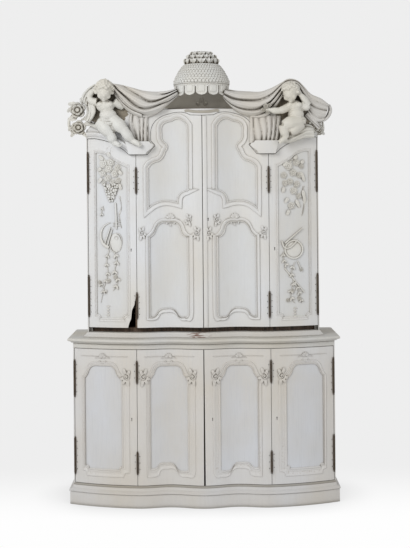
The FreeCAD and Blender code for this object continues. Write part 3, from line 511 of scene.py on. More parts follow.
def run_moulding(name, inner, outer, profile, face):
    """A moulding run round a field, between its inner and outer line, closed behind."""
    rings = [[spot + Vector((0, -height, 0)) for spot in between(inner, outer, share)] for share,
             height in profile]
    rings.append([spot + Vector((0, 0.004, 0)) for spot in between(inner, outer, profile[-1][0])])
    rings.append([spot + Vector((0, 0.010, 0)) for spot in between(inner, outer, profile[0][0])])
    rings.append(rings[0])
    piece = run_out(name, rings, capped=False)
    bend_back(piece, face)
    return piece


def mirrored(outline, side):
    return [Vector((spot.x * side, spot.y, spot.z)) for spot in outline]


def box_line(x0, x1, z0, z1, spacing=0.02):
    return drawn_line((("line", 0, 0), ("line", 1, 0), ("line", 1, 1), ("line", 0, 1)), x0, x1, z0, z1,
                      spacing)


def joined(name, pieces):
    """The pieces are glued up into one."""
    bpy.ops.object.select_all(action="DESELECT")
    for piece in pieces:
        piece.select_set(True)
    bpy.context.view_layer.objects.active = pieces[0]
    if len(pieces) > 1:
        bpy.ops.object.join()
    whole = bpy.context.object
    whole.name = name
    return whole


def smooth_line(spots, steps):
    """Points on a smooth curve through the given points."""
    spots = [Vector(spot) for spot in spots]
    line = []
    last = len(spots) - 1
    for i in range(steps + 1):
        place = min(i * last / steps, last - 1e-6)
        k = int(place)
        t = place - k
        a, b, c, d = spots[max(k - 1, 0)], spots[k], spots[k + 1], spots[min(k + 2, last)]
        line.append(0.5 * (2 * b + (c - a) * t + (2 * a - 5 * b + 4 * c - d) * t * t
                           + (3 * b - a - 3 * c + d) * t ** 3))
    return line


def rod(name, spots, radii, sides=10, flat=1.0):
    """A rod drawn along a line of points, as thick as its radii say. Flat is its depth against its width."""
    spots = [Vector(spot) for spot in spots]
    rings = []
    across = None
    for i, spot in enumerate(spots):
        way = (spots[min(i + 1, len(spots) - 1)] - spots[max(i - 1, 0)]).normalized()
        if across is None:
            across = way.cross(Vector((0, 1, 0)) if abs(way.y) < 0.9 else Vector((1, 0, 0))).normalized()
        across = (across - way * across.dot(way)).normalized()
        deep = way.cross(across) * flat
        turns = [2 * math.pi * j / sides for j in range(sides)]
        rings.append([spot + (across * math.cos(turn) + deep * math.sin(turn)) * radii[i] for turn in turns])
    return run_out(name, rings)


def leaf(name, spots, width, facing, thickness=0.006, lobes=3, curl=0.35, stations=14, depth=0.35):
    """A carved leaf along a line: lobed edges, a raised rib and a hollow on each side of it."""
    line = smooth_line(spots, stations)
    facing = Vector(facing).normalized()
    rings = []
    for i, spot in enumerate(line):
        share = i / stations
        along = (line[min(i + 1, stations)] - line[max(i - 1, 0)]).normalized()
        across = along.cross(facing).normalized()
        out = across.cross(along).normalized()
        half = width * (0.08 + math.sin(math.pi * min(1.0, 0.10 + 0.90 * share)) ** 0.75)
        half *= 1 - 0.22 * (0.5 + 0.5 * math.cos(2 * math.pi * lobes * share))
        front, rear = [], []
        for j in range(9):
            u = -1 + j / 4
            swell = depth * half * (0.9 * math.exp(-(u / 0.22) ** 2) + 0.8 * abs(u) ** 1.5 - curl * u * u)
            fray = 0.10 * half * math.sin(2 * math.pi * lobes * share) * abs(u)
            front.append(spot + across * half * u + out * (swell + fray))
            rear.append(spot + across * half * u + out * (swell + fray - thickness * (1.2 - 0.7 * abs(u))))
        rings.append(front + rear[::-1])
    return run_out(name, rings)


def egg_shape(middle, radii, turn=(0, 0, 0)):
    """An egg-shaped form, set in place as clay is, to be carved into one with its neighbours."""
    bpy.ops.mesh.primitive_uv_sphere_add(segments=20, ring_count=12, radius=1, location=middle,
                                         rotation=[math.radians(part) for part in turn])
    form = bpy.context.object
    form.scale = radii if isinstance(radii, tuple) else (radii, radii, radii)
    bpy.ops.object.transform_apply(location=True, rotation=True, scale=True)
    return form


def volute(spot, radius, turns, thick, side=1, start=0.0, steps=44):
    """A flat spiral in the front's plane, that ends in an eye."""
    spots, radii = [], []
    for i in range(steps + 1):
        share = i / steps
        turn = start + side * 2 * math.pi * turns * share
        reach = radius * (1 - 0.86 * share)
        spots.append(Vector(spot) + Vector((reach * math.cos(turn), -0.006 * share,
                                            reach * math.sin(turn))))
        radii.append(thick * (1 - 0.45 * share))
    eye = egg_shape(Vector(spot) + Vector((0, -0.007, 0)), thick * 1.15)
    return [rod("volute", spots, radii, 10), eye]


def keyhole_line(x, z, radius=0.0036, drop=0.015):
    """The outline of a keyhole: a round hole over a slot."""
    spots = []
    for i in range(11):
        turn = math.radians(-60 + 300 * i / 10)
        spots.append(Vector((x + radius * math.cos(turn), 0, z + radius * math.sin(turn))))
    return spots + [Vector((x - radius * 0.6, 0, z - drop)), Vector((x + radius * 0.6, 0, z - drop))]


def crest_shell(x, z, size):
    """A small shell over the middle of a field, with three drops under it."""
    forms = []
    for k in range(5):
        turn = math.radians(90 + 34 * (k - 2))
        way = Vector((math.cos(turn), 0, math.sin(turn)))
        root = Vector((x, -0.003, z))
        forms.append(leaf("shell", (root, root + way * size * 0.6 + Vector((0, -0.004, 0)),
                                    root + way * size),
                          size * 0.24, (0, -1, 0), 0.005, 1, 0.1, 8))
    for dx, dz in ((-0.75, -1.05), (0.75, -1.05), (0.0, -1.45)):
        forms.append(egg_shape((x + dx * size, -0.002, z + dz * size), (size * 0.17, 0.005, size * 0.22)))
    for way in (-1, 1):
        spots = [(x + way * size * a, -0.002, z + size * b) for a,
                 b in ((0.3, -0.25), (0.9, -0.05), (1.5, -0.12), (1.9, -0.35))]
        forms.append(rod("wing", smooth_line(spots, 10), [0.0042 - 0.00028 * i for i in range(11)], 8))
    return forms


def corner_scroll(x, z, way, size):
    """A leaf scroll where the moulding turns: a spiral with an eye, and leaves round it."""
    forms = volute((x, -0.003, z), size * 0.42, 1.4, size * 0.11, way, math.radians(90))
    for turn, length in ((70, 1.0), (115, 0.75), (-60, 0.9), (-100, 1.2), (-20, 0.7)):
        aim = Vector((math.cos(math.radians(turn)) * way, 0, math.sin(math.radians(turn))))
        root = Vector((x, -0.002, z)) + aim * size * 0.38
        forms.append(leaf("leaf", (root, root + aim * size * 0.4 * length + Vector((0, -0.005, 0)),
                                   root + aim * size * 0.9 * length),
                          size * 0.22, (0, -1, 0), 0.005, 2, 0.3, 8))
    return forms


frame_paint = old_paint("door_frame_paint", FRAME_PAINT, (118, 106, 88), 0.014)
field_paint = old_paint("door_field_paint", FIELD_PAINT, (128, 118, 102), 0.016, streaks=1.3)
PANEL_BACK = 0.005
FREE = 0.002
SEAM_IN = SEAM - GAP / 2
SEAM_OUT = SEAM + GAP / 2
LOWER_HANG = LOWER_HALF - 0.007 - GAP / 2
LOWER_KEY = 0.543
KEY_FROM_SEAM = 0.034
LOWER_LEAF_LINE = (("line", 0.0080, 0.0), ("line", 1.0, 0.0), ("line", 1.0, 1.0), ("line", 0.0015, 1.0))
MEETING_KEY_PLACE = 0.051
# the shell, the scrolls and the bead stand at shares of a door's width and height
CREST_LEVEL = 0.942
CREST_SIZE = 0.024
SCROLL_LEVEL = 0.800
SCROLL_SIZE = 0.044
BEAD_LEVEL = 0.948
BEAD_START = 0.14
BEAD_STEP = 0.030
BEAD_SPOTS = 26
FIELD_THICKNESS = 0.013
CUT_SHARE = 0.4
FIELD_SHARE = 0.3
for side, word in ((-1, "left"), (1, "right")):
    for door, x0, x1, steps, edges, crest, scrolls in (
            ("centre", FREE, SEAM_IN, LOWER_CENTRE_FIELD, LOWER_CENTRE_EDGE, 0.525,
             ((0.165, 1), (0.905, -1))),
            ("side", SEAM_OUT, LOWER_HANG - GAP / 2, LOWER_SIDE_FIELD, LOWER_SIDE_EDGE, 0.545,
             ((0.160, 1),))):
        body = f"lower_{word}_{door}_door"
        stem = f"lower_centre_{word}" if door == "centre" else f"lower_side_door_{word}"
        field, rim_edge = field_and_edge(steps, edges, x0, x1, LOWER_BOTTOM, LOWER_TOP, side)
        if door == "centre":
            edge = mirrored(drawn_line(LOWER_LEAF_LINE, x0, x1, LOWER_BOTTOM, LOWER_TOP, 0.02), side)
        else:
            edge = mirrored(box_line(x0, x1, LOWER_BOTTOM, LOWER_TOP), side)
        lines = [edge, between(field, rim_edge, CUT_SHARE)]
        if door == "side":
            lines.append(keyhole_line(side * (SEAM + KEY_FROM_SEAM), LOWER_KEY))
        elif side > 0:
            lines.append(keyhole_line(MEETING_KEY_PLACE, LOWER_KEY))
        parts = [sawn_board(stem + "_leaf", lines, DOOR_THICKNESS, LOWER_FACE),
                 run_moulding(stem + "_moulding", field, rim_edge, LOWER_MOULDING, LOWER_FACE)]
        wide, tall = x1 - x0, LOWER_TOP - LOWER_BOTTOM
        carvings = crest_shell(side * (x0 + crest * wide), LOWER_BOTTOM + CREST_LEVEL * tall, CREST_SIZE)
        for share, way in scrolls:
            carvings += corner_scroll(side * (x0 + share * wide), LOWER_BOTTOM + SCROLL_LEVEL * tall,
                                      side * way, SCROLL_SIZE)
        line = [(side * (x0 + (BEAD_START + BEAD_STEP * i) * wide), -0.0012,
                 LOWER_BOTTOM + BEAD_LEVEL * tall)
                for i in range(BEAD_SPOTS)]
        carvings.append(rod("bead", line, [0.0018] * BEAD_SPOTS, 6))
        ornament = joined("ornament", carvings)
        bend_back(ornament, LOWER_FACE)
        parts.append(ornament)
        fix(joined(stem + "_leaf", parts), frame_paint, "paint", body, stem + "_frame")
        panel = sawn_board(stem + "_field", [between(field, rim_edge, FIELD_SHARE)], FIELD_THICKNESS,
                           LOWER_FACE + PANEL_BACK)
        fix(panel, field_paint, "paint", body, stem + "_panel")

# Upper doors: four tall bowed leaves. The centre pair rises to a shaped head and has two fields each,
# and the narrow side pair sweeps up to its outer end. The bold mouldings are carved from the frame.
UPPER_BOTTOM = 1.089
SHOULDER = 2.157
SIDE_TOP = 2.262
CENTRE_TOP = 2.420
UPPER_HANG = UPPER_HALF - 0.007 - GAP / 2
UPPER_PAINT = (220, 219, 217)
UPPER_FIELD_PAINT = (214, 214, 213)
UPPER_MOULDING = ((-0.03, -0.0060), (0.0, -0.0030), (0.035, 0.0020), (0.10, 0.0042), (0.17, 0.0030),
                  (0.21, 0.0008),
                  (0.26, -0.0006), (0.36, 0.0016), (0.50, 0.0056), (0.64, 0.0084), (0.76, 0.0090),
                  (0.87, 0.0082),
                  (0.94, 0.0052), (0.98, 0.0018), (1.0, -0.0004))
SLIM_MOULDING = ((-0.06, -0.0050), (0.0, -0.0030), (0.08, 0.0014), (0.22, 0.0030), (0.36, 0.0012),
                 (0.46, -0.0012),
                 (0.60, 0.0008), (0.76, 0.0030), (0.90, 0.0024), (1.0, -0.0003))
TALL_MOULDING_WIDTH = 0.034
CENTRE_HEAD = (("line", 1.0, 0.0), ("line", 1.0, 0.803), ("line", 0.827, 0.803), ("line", 0.705, 0.847),
               ("line", 0.771, 0.869), ("line", 0.771, 0.910), ("arc", 0.690, 0.963, 0.488, 0.993),
               ("arc", 0.317, 0.9993, 0.173, 0.985), ("line", 0.0, 0.983), ("line", 0.0, 0.0))
SIDE_HEAD = (("line", 1.0, 0.0), ("line", 1.0, 1.0), ("line", 0.86, 1.0),
             ("arc", 0.44, 0.968, 0.14, 0.9105),
             ("line", 0.0, 0.9105), ("line", 0.0, 0.0))
TALL_FIELD = (("line", 0.225, 0.640), ("line", 0.225, 0.935), ("arc", 0.335, 0.967, 0.455, 0.957),
              ("arc", 0.585, 0.943, 0.602, 0.902), ("arc", 0.600, 0.878, 0.555, 0.860),
              ("arc", 0.515, 0.841, 0.550, 0.817), ("arc", 0.610, 0.783, 0.705, 0.768),
              ("arc", 0.770, 0.757, 0.811, 0.741), ("line", 0.811, 0.560),
              ("arc", 0.620, 0.589, 0.385, 0.583),
              ("arc", 0.345, 0.621, 0.225, 0.640))
ARCHED_FIELD = (("line", 0.230, 0.085), ("arc", 0.240, 0.052, 0.300, 0.050),
                ("arc", 0.365, 0.052, 0.415, 0.073),
                ("arc", 0.475, 0.089, 0.560, 0.090), ("arc", 0.650, 0.084, 0.700, 0.066),
                ("arc", 0.745, 0.051, 0.797, 0.050),
                ("line", 0.797, 0.419), ("arc", 0.742, 0.432, 0.700, 0.458),
                ("arc", 0.630, 0.483, 0.520, 0.485),
                ("arc", 0.400, 0.483, 0.345, 0.458), ("arc", 0.305, 0.428, 0.230, 0.419))
ARCHED_EDGE = (("line", 0.140, 0.085), ("arc", 0.165, 0.036, 0.240, 0.031),
               ("arc", 0.320, 0.031, 0.372, 0.045),
               ("arc", 0.450, 0.065, 0.560, 0.067), ("arc", 0.640, 0.062, 0.685, 0.040),
               ("arc", 0.760, 0.033, 0.862, 0.034),
               ("line", 0.862, 0.430), ("arc", 0.785, 0.448, 0.735, 0.477),
               ("arc", 0.650, 0.503, 0.530, 0.505),
               ("arc", 0.365, 0.502, 0.275, 0.472), ("arc", 0.225, 0.440, 0.140, 0.430))
SIDE_FIELD = (("line", 0.280, 0.050), ("line", 0.755, 0.050), ("arc", 0.768, 0.066, 0.830, 0.070),
              ("line", 0.830, 0.925),
              ("arc", 0.665, 0.919, 0.500, 0.893), ("arc", 0.350, 0.866, 0.190, 0.846),
              ("line", 0.190, 0.070),
              ("arc", 0.268, 0.066, 0.280, 0.050))
SIDE_EDGE = (("line", 0.242, 0.030), ("line", 0.792, 0.030), ("arc", 0.808, 0.052, 0.877, 0.056),
             ("line", 0.877, 0.942),
             ("arc", 0.680, 0.935, 0.500, 0.908), ("arc", 0.330, 0.880, 0.128, 0.860),
             ("line", 0.128, 0.056),
             ("arc", 0.230, 0.052, 0.242, 0.030))
# the left side door has lost its lower inner corner
BROKEN_CORNER = (("line", 0.186, 0.0), ("line", 1.0, 0.0), ("line", 1.0, 1.0), ("line", 0.86, 1.0),
                 ("arc", 0.44, 0.968, 0.14, 0.9105), ("line", 0.0, 0.9105), ("line", 0.0, 0.186),
                 ("line", 0.022, 0.158),
                 ("line", 0.052, 0.120), ("line", 0.104, 0.092), ("line", 0.122, 0.048),
                 ("line", 0.164, 0.022))


def round_strip(name, x0, x1, z0, z1, rise, face, steps=14):
    """A half-round strip planted on the edge of a door, over the joint of the pair."""
    rings = []
    for end, z in ((0.0, z0), (1.0, z0 + 0.004), (1.0, z1 - 0.004), (0.0, z1)):
        ring = []
        for i in range(steps + 1):
            turn = math.pi * i / steps
            x = (x0 + x1) / 2 - (x1 - x0) / 2 * math.cos(turn) * (0.92 + 0.08 * end)
            crown = rise * (0.30 + 0.70 * math.sin(turn) ** 0.8) if 0 < i < steps else 0.0
            ring.append(Vector((x, -crown * (0.6 + 0.4 * end), z)))
        ring += [Vector((x1, 0.001, z)), Vector((x0, 0.001, z))]
        rings.append(ring)
    piece = run_out(name, rings)
    bend_back(piece, face)
    return piece


upper_paint = old_paint("upper_frame_paint", UPPER_PAINT, (126, 116, 98), 0.016)
upper_field_paint = old_paint("upper_field_paint", UPPER_FIELD_PAINT, (132, 122, 104), 0.020, streaks=0.8)
UPPER_KEY = 1.576
MEETING_KEY = 1.762
for side, word in ((-1, "left"), (1, "right")):
    head = mirrored(drawn_line(CENTRE_HEAD, FREE, SEAM_IN, UPPER_BOTTOM, CENTRE_TOP, 0.012), side)
    tall = mirrored(drawn_line(TALL_FIELD, FREE, SEAM_IN, UPPER_BOTTOM, CENTRE_TOP), side)
    pairs = [(tall, set_off(tall, TALL_MOULDING_WIDTH)),
             field_and_edge(ARCHED_FIELD, ARCHED_EDGE, FREE, SEAM_IN, UPPER_BOTTOM, CENTRE_TOP, side)]
    stem = f"upper_centre_{word}"
    lines = [head] + [between(*pair, CUT_SHARE) for pair in pairs]
    if side > 0:
        lines.append(keyhole_line(KEY_FROM_SEAM, MEETING_KEY))
    parts = [sawn_board(stem + "_leaf", lines, DOOR_THICKNESS, UPPER_FACE)]
    parts += [run_moulding(stem + "_moulding", *pair, UPPER_MOULDING, UPPER_FACE) for pair in pairs]
    if side > 0:
        parts.append(round_strip("upper_meeting_strip", FREE, FREE + 0.027, UPPER_BOTTOM, 2.393, 0.007,
                                 UPPER_FACE))
    wide, high = SEAM_IN - FREE, CENTRE_TOP - UPPER_BOTTOM

    def on_door(x_share, z_share):
        return side * (FREE + x_share * wide), UPPER_BOTTOM + z_share * high

    carvings = crest_shell(*on_door(0.485, 0.508), 0.030)
    carvings += corner_scroll(*on_door(0.925, 0.440), -side, 0.034) + corner_scroll(*on_door(0.085, 0.438),
                                                                                    side, 0.036)
    carvings += corner_scroll(*on_door(0.205, 0.500), side, 0.032)
    ornament = joined("ornament", carvings)
    bend_back(ornament, UPPER_FACE)
    fix(joined(stem + "_leaf", parts + [ornament]), upper_paint, "paint", f"upper_{word}_centre_door",
        stem + "_frame")
    panels = [sawn_board(stem + "_field", [between(*pair, FIELD_SHARE)], FIELD_THICKNESS,
                         UPPER_FACE + PANEL_BACK) for pair in pairs]
    fix(joined(stem + "_fields", panels), upper_field_paint, "paint", f"upper_{word}_centre_door",
        stem + "_panels")
    outline = BROKEN_CORNER if side < 0 else SIDE_HEAD
    head = mirrored(drawn_line(outline, SEAM_OUT, UPPER_HANG - GAP / 2, UPPER_BOTTOM, SIDE_TOP, 0.009),
                    side)
    field, rim_edge = field_and_edge(SIDE_FIELD, SIDE_EDGE, SEAM_OUT, UPPER_HANG - GAP / 2, UPPER_BOTTOM,
                                     SIDE_TOP, side)
    stem = f"upper_side_door_{word}"
    lines = [head, between(field, rim_edge, CUT_SHARE), keyhole_line(side * (SEAM + KEY_FROM_SEAM),
                                                                     UPPER_KEY)]
    board = sawn_board(stem + "_leaf", lines, DOOR_THICKNESS, UPPER_FACE)
    rim = run_moulding(stem + "_moulding", field, rim_edge, SLIM_MOULDING, UPPER_FACE)
    fix(joined(stem + "_leaf", [board, rim]), upper_paint, "paint", f"upper_{word}_side_door",
        stem + "_frame")
    panel = sawn_board(stem + "_field", [between(field, rim_edge, FIELD_SHARE)], FIELD_THICKNESS,
                       UPPER_FACE + PANEL_BACK)
    fix(panel, upper_field_paint, "paint", f"upper_{word}_side_door", stem + "_panel")

# Ironwork: the door pairs fold on barrel hinges of wrought iron in two knuckles, held by rose-headed nails.
# Rim locks are screwed behind the keyholes of the side doors and of the right centre doors.
PIVOT = 0.006
LOCK_SIZE = (0.058, 0.013, 0.092)
LOCK_INSET = 0.014
NAIL_SPACING = 0.036
# middle height and length of each hinge
HINGES = {("lower", "outer"): ((0.778, 0.210), (0.300, 0.210)),
          ("lower", "seam"): ((0.826, 0.120), (0.272, 0.120)),
          ("upper", "outer"): ((2.050, 0.240), (1.283, 0.240)),
          ("upper", "seam"): ((1.999, 0.145), (1.226, 0.145))}


def barrel(x, y, low, high, knob_below):
    """Half of a hinge barrel with a turned knob at its free end."""
    knob = ((-0.012, 0.0012), (-0.010, 0.0040), (-0.007, 0.0046), (-0.004, 0.0022), (-0.002, 0.0052))
    line = [(low + drop, radius) for drop, radius in knob] if knob_below else [(low, PIVOT * 0.94)]
    line += [(low + 0.001, PIVOT), (low + 0.004, PIVOT), (low + 0.005, PIVOT * 0.9), (low + 0.006, PIVOT)]
    line += [(high - 0.006, PIVOT), (high - 0.005, PIVOT * 0.9), (high - 0.004, PIVOT),
             (high - 0.001, PIVOT)]
    line += [(high, PIVOT * 0.94)] if knob_below else [(high - drop, radius) for drop,
                                                       radius in reversed(knob)]
    return rod("barrel", [(x, y, z) for z, radius in line], [radius for z, radius in line], 14)


def nail(x, z, face, radius=0.0026):
    """A rose-headed nail driven into the front."""
    bpy.ops.mesh.primitive_uv_sphere_add(segments=8, ring_count=6, radius=radius,
                                         location=(x, face + front_depth(x), z))
    bpy.ops.transform.resize(value=(1, 0.55, 1), center_override=(x, face + front_depth(x), z))
    bpy.ops.object.transform_apply(location=True, rotation=True, scale=True)
    return bpy.context.object


def box_piece(name, size, middle, round_over):
    """A block of the given size with its edges rounded over."""
    bpy.ops.mesh.primitive_cube_add(size=1, location=middle)
    bpy.ops.transform.resize(value=size, center_override=middle)
    bpy.ops.object.transform_apply(location=True, rotation=True, scale=True)
    piece = bpy.context.object
    piece.name = name
    bpy.ops.object.modifier_add(type="BEVEL")
    piece.modifiers[-1].width = round_over
    piece.modifiers[-1].segments = 2
    bpy.ops.object.modifier_apply(modifier=piece.modifiers[-1].name)
    return piece


def rim_lock(x, z, face, way):
    """A lock case behind the keyhole, with its bolt and four screws. The way is towards the free edge."""
    wide, deep, tall = LOCK_SIZE
    near = x - way * (LOCK_INSET + 0.006)
    middle = near + way * wide / 2
    slope = (front_depth(middle + 0.02) - front_depth(middle - 0.02)) / 0.04
    rear = face + front_depth(middle) + DOOR_THICKNESS
    parts = [box_piece("case", (wide, deep, tall), (middle, rear + deep / 2, z), 0.0015)]
    parts.append(box_piece("bolt", (0.008, 0.006, 0.016), (near - way * 0.002, rear + 0.005, z + 0.02),
                           0.001))
    for dx in (-0.42, 0.42):
        for dz in (-0.44, 0.44):
            bpy.ops.mesh.primitive_uv_sphere_add(segments=8, ring_count=6, radius=0.003,
                                                 location=(middle + dx * wide, rear + deep, z + dz * tall))
            parts.append(bpy.context.object)
            bpy.ops.object.transform_apply(location=True, rotation=True, scale=True)
    case = joined("rim_lock", parts)
    for vertex in case.data.vertices:
        vertex.co.y += (vertex.co.x - middle) * slope
    return case


iron = bpy.data.materials.new("old_iron")
iron.use_nodes = True
shader = iron.node_tree.nodes["Principled BSDF"]
shader.inputs["Metallic"].default_value = 0.75
shader.inputs["Roughness"].default_value = 0.62
rust = iron.node_tree.nodes.new("ShaderNodeTexNoise")
rust.inputs["Scale"].default_value = 160.0
where = iron.node_tree.nodes.new("ShaderNodeTexCoord")
iron.node_tree.links.new(where.outputs["Object"], rust.inputs["Vector"])
shades = iron.node_tree.nodes.new("ShaderNodeMix")
shades.data_type = "RGBA"
shades.inputs["A"].default_value = tone(62, 56, 50)
shades.inputs["B"].default_value = tone(96, 82, 68)
iron.node_tree.links.new(rust.outputs["Fac"], shades.inputs["Factor"])
iron.node_tree.links.new(shades.outputs["Result"], shader.inputs["Base Color"])

AXIS_DEPTH = {("lower", "outer"): -0.155242, ("lower", "seam"): -0.267414,
              ("upper", "outer"): -0.113561, ("upper", "seam"): -0.187414}
for unit, face, hang in (("lower", LOWER_FACE, LOWER_HANG), ("upper", UPPER_FACE, UPPER_HANG)):
    case_parts = []
    for side, word in ((-1, "left"), (1, "right")):
        side_parts, centre_parts = [], []
        for place, x, stay, turn in (("outer", hang, case_parts, side_parts),
                                     ("seam", SEAM, side_parts, centre_parts)):
            depth = AXIS_DEPTH[unit, place]
            for middle, length in HINGES[unit, place]:
                stay.append(barrel(side * x, depth, middle - length / 2, middle, True))
                turn.append(barrel(side * x, depth, middle + 0.0005, middle + length / 2, False))
                count = int(length / NAIL_SPACING)
                for i in range(count):
                    z = middle - length / 2 + (i + 0.5) * length / count
                    inner = x - 0.014
                    (side_parts if place == "outer" else centre_parts).append(nail(side * inner, z, face))
                    if place == "seam":
                        side_parts.append(nail(side * (x + 0.014), z + 0.006, face))
        lock_z = LOWER_KEY if unit == "lower" else UPPER_KEY
        side_parts.append(rim_lock(side * (SEAM + KEY_FROM_SEAM), lock_z, face, side))
        if side > 0:
            lock_x, lock_z = (MEETING_KEY_PLACE, LOWER_KEY) if unit == "lower" else (KEY_FROM_SEAM,
                                                                                     MEETING_KEY)
            centre_parts.append(rim_lock(lock_x, lock_z, face, 1))
        fix(joined(f"{unit}_side_{word}_iron", side_parts), iron, "iron", f"{unit}_{word}_side_door",
            f"{unit}_side_{word}_ironwork")
        fix(joined(f"{unit}_centre_{word}_iron", centre_parts), iron, "iron", f"{unit}_{word}_centre_door",
            f"{unit}_centre_{word}_ironwork")
    fix(joined(f"{unit}_case_iron", case_parts), iron, "iron", "root", f"{unit}_case_hinges")

# Frieze and cornices: a shaped board fills the front over the upper doors, and a moulded cornice follows
# each side door's sweep down to a block, on which the carved figure rests its feet. All is painted oak.
CREST = 2.440
SIDE_ROOF = 2.265
FRIEZE_THICKNESS = 0.0275
# height over the edge, and how far it stands out
CORNICE_PROFILE = ((0.0, -0.002), (0.0, 0.008), (0.004, 0.011), (0.009, 0.011), (0.011, 0.014),
                   (0.0145, 0.0205),
                   (0.020, 0.026), (0.0255, 0.0285), (0.0275, 0.0300), (0.0345, 0.0300), (0.0365, 0.0280),
                   (0.0375, 0.0240), (0.0375, -0.002))
BLOCK_LINE = ((0.3484, 2.160), (0.3400, 2.176), (0.3110, 2.198), (0.2995, 2.212), (0.3030, 2.224),
              (0.3200, 2.229),
              (0.3256, 2.240), (0.4758, 2.240), (0.4640, 2.205), (0.4538, 2.160))


def run_along(name, path, profile, face, way=1.0):
    """A moulding run along an open line in the front's plane. The way is the side that its profile faces."""
    rings = []
    for i, spot in enumerate(path):
        along = (path[min(i + 1, len(path) - 1)] - path[max(i - 1, 0)]).normalized()
        out = Vector((-along.z, 0, along.x)) * way
        rings.append([spot + out * high + Vector((0, -proud, 0)) for high, proud in profile])
    piece = run_out(name, rings)
    bend_back(piece, face)
    return piece


head = set_off(drawn_line(CENTRE_HEAD, FREE, SEAM_IN, UPPER_BOTTOM, CENTRE_TOP, 0.012), GAP)
side_head = set_off(drawn_line(SIDE_HEAD, SEAM_OUT, UPPER_HANG - GAP / 2, UPPER_BOTTOM, SIDE_TOP, 0.012),
                    GAP)
over_centre = [spot for spot in head if spot.z > SHOULDER - 0.001 and 0.004 < spot.x < SEAM - 0.006]
over_side = [spot for spot in side_head if spot.z > SHOULDER - 0.001 and spot.x > SEAM + 0.006]
over_side = [spot for spot in over_side if spot.x < UPPER_HANG and (spot.x < SEAM + 0.28 or spot.z > SIDE_TOP)]
outer_edge = drawn_line((("line", 0.0, 1.0), ("line", 0.15, 1.0), ("arc", 0.65, 0.76, 1.0, 0.28),
                         ("line", 1.0, 0.0)),
                        SEAM, UPPER_HALF, SIDE_ROOF, CREST, 0.015)
outer_edge = [spot for spot in outer_edge if spot.x > SEAM + 0.001]
half_line = [Vector((0, 0, CREST))] + outer_edge[:outer_edge.index(max(outer_edge,
                                                                       key=lambda s: (s.x, -s.z))) + 1]
half_line += over_side + over_centre
half_line.append(Vector((0, 0, over_centre[-1].z)))
left_half = [Vector((-spot.x, 0, spot.z)) for spot in reversed(half_line[1:-1])]
frieze = sawn_board("frieze_board", [half_line + left_half], FRIEZE_THICKNESS, UPPER_FACE)
fix(frieze, upper_paint, "paint", "root", "frieze")
for side, word in ((-1, "left"), (1, "right")):
    sweep = [spot for spot in over_side if spot.x > 0.446]
    sweep = [Vector((UPPER_HALF - 0.0005, 0, SIDE_ROOF))] + sweep
    sweep = mirrored(sweep, side)
    band = run_along("cornice", sweep, CORNICE_PROFILE, UPPER_FACE, -side)
    outline = [Vector((x * side, 0, z)) for x, z in BLOCK_LINE]
    block = sawn_board("block", [outline], 0.036, UPPER_FACE - 0.034)
    bpy.context.view_layer.objects.active = block
    bpy.ops.object.modifier_add(type="BEVEL")
    block.modifiers[-1].width = 0.005
    block.modifiers[-1].segments = 3
    block.modifiers[-1].angle_limit = math.radians(40)
    bpy.ops.object.modifier_apply(modifier=block.modifiers[-1].name)
    fix(joined(f"cornice_{word}_moulding", [band, block]), upper_paint, "paint", "root", f"cornice_{word}")

# Canopy: half a dome with carved scales, a beaded rim, hanging tabs and a tuft of leaves on top. It is
# limewood, glued before a hollow wall of staves, and the old paint has gone thin on its high places.
CANOPY_HALF = 0.171
CANOPY_REACH = 0.155
CANOPY_BACK = -0.138
RIM = 2.590
DOME_RISE = 0.125
DOME_LINE = ((0.0, 1.0), (0.10, 1.02), (0.35, 0.95), (0.70, 0.82), (1.0, 0.655))
SCALE_ROWS = 8
SCALES_ROUND = 24
SCALE_RISE = 0.0060
CARVING_PAINT = (217, 215, 208)
carving_paint = old_paint("carving_paint", CARVING_PAINT, (104, 92, 72), 0.030, streaks=0.35, wear=0.5)


def along_line(line, share):
    """The value at a share of a line of (share, value) pairs, straight between them."""
    for (a, va), (b, vb) in zip(line, line[1:]):
        if share <= b:
            step = (share - a) / (b - a)
            return va + (vb - va) * step
    return line[-1][1]


def round_rim(share, turn, z, out=0.0):
    """A place on the canopy's half round plan, at a share of its size and a turn from its left end."""
    return Vector((-(CANOPY_HALF * share + out) * math.cos(turn),
                   CANOPY_BACK - (CANOPY_REACH * share + out) * math.sin(turn), z))


steps_round, steps_up = SCALES_ROUND * 7, SCALE_ROWS * 7
rings = []
for j in range(steps_up + 1):
    up = j / steps_up
    ring = []
    for i in range(steps_round + 1):
        row_place = up * SCALE_ROWS
        row = int(row_place)
        within = row_place - row
        across = i * SCALES_ROUND / steps_round
        for below in (0, 1):
            off = (across + 0.5 * ((row - below) % 2)) % 1.0
            side = abs(off - 0.5) * 2
            hang = 0.95 * (1 - math.sqrt(max(0.0, 1 - side * side)))
            if within + below >= hang:
                break
        rise = SCALE_RISE * max(0.0, 1 - 0.75 * (within + below - hang)) * (1 - 0.35 * side * side)
        rise = rise if 0 < j < steps_up else 0.0
        turn = math.pi * i / steps_round
        ring.append(round_rim(along_line(DOME_LINE, up), turn, RIM + 0.006 + up * (DOME_RISE - 0.006),
                              rise - 0.003))
    ring += [Vector((ring[-1].x, CANOPY_BACK, ring[-1].z)), Vector((ring[0].x, CANOPY_BACK, ring[0].z))]
    rings.append(ring)
dome = run_out("dome_scales", rings)
beads = 52
rim_parts = []
for radius, z, out, pearls in ((0.0048, RIM + 0.004, 0.002, beads), (0.0030, RIM - 0.005, 0.0015, 0)):
    spots, radii = [], []
    for i in range(beads * 6 + 1):
        turn = math.pi * i / (beads * 6)
        spots.append(round_rim(1.0, turn, z, out - 0.002))
        radii.append(radius * (0.55 + 0.45 * abs(math.sin(beads * turn)) ** 0.6 if pearls else 1.0))
    rim_parts.append(rod("rim", spots, radii, 8))
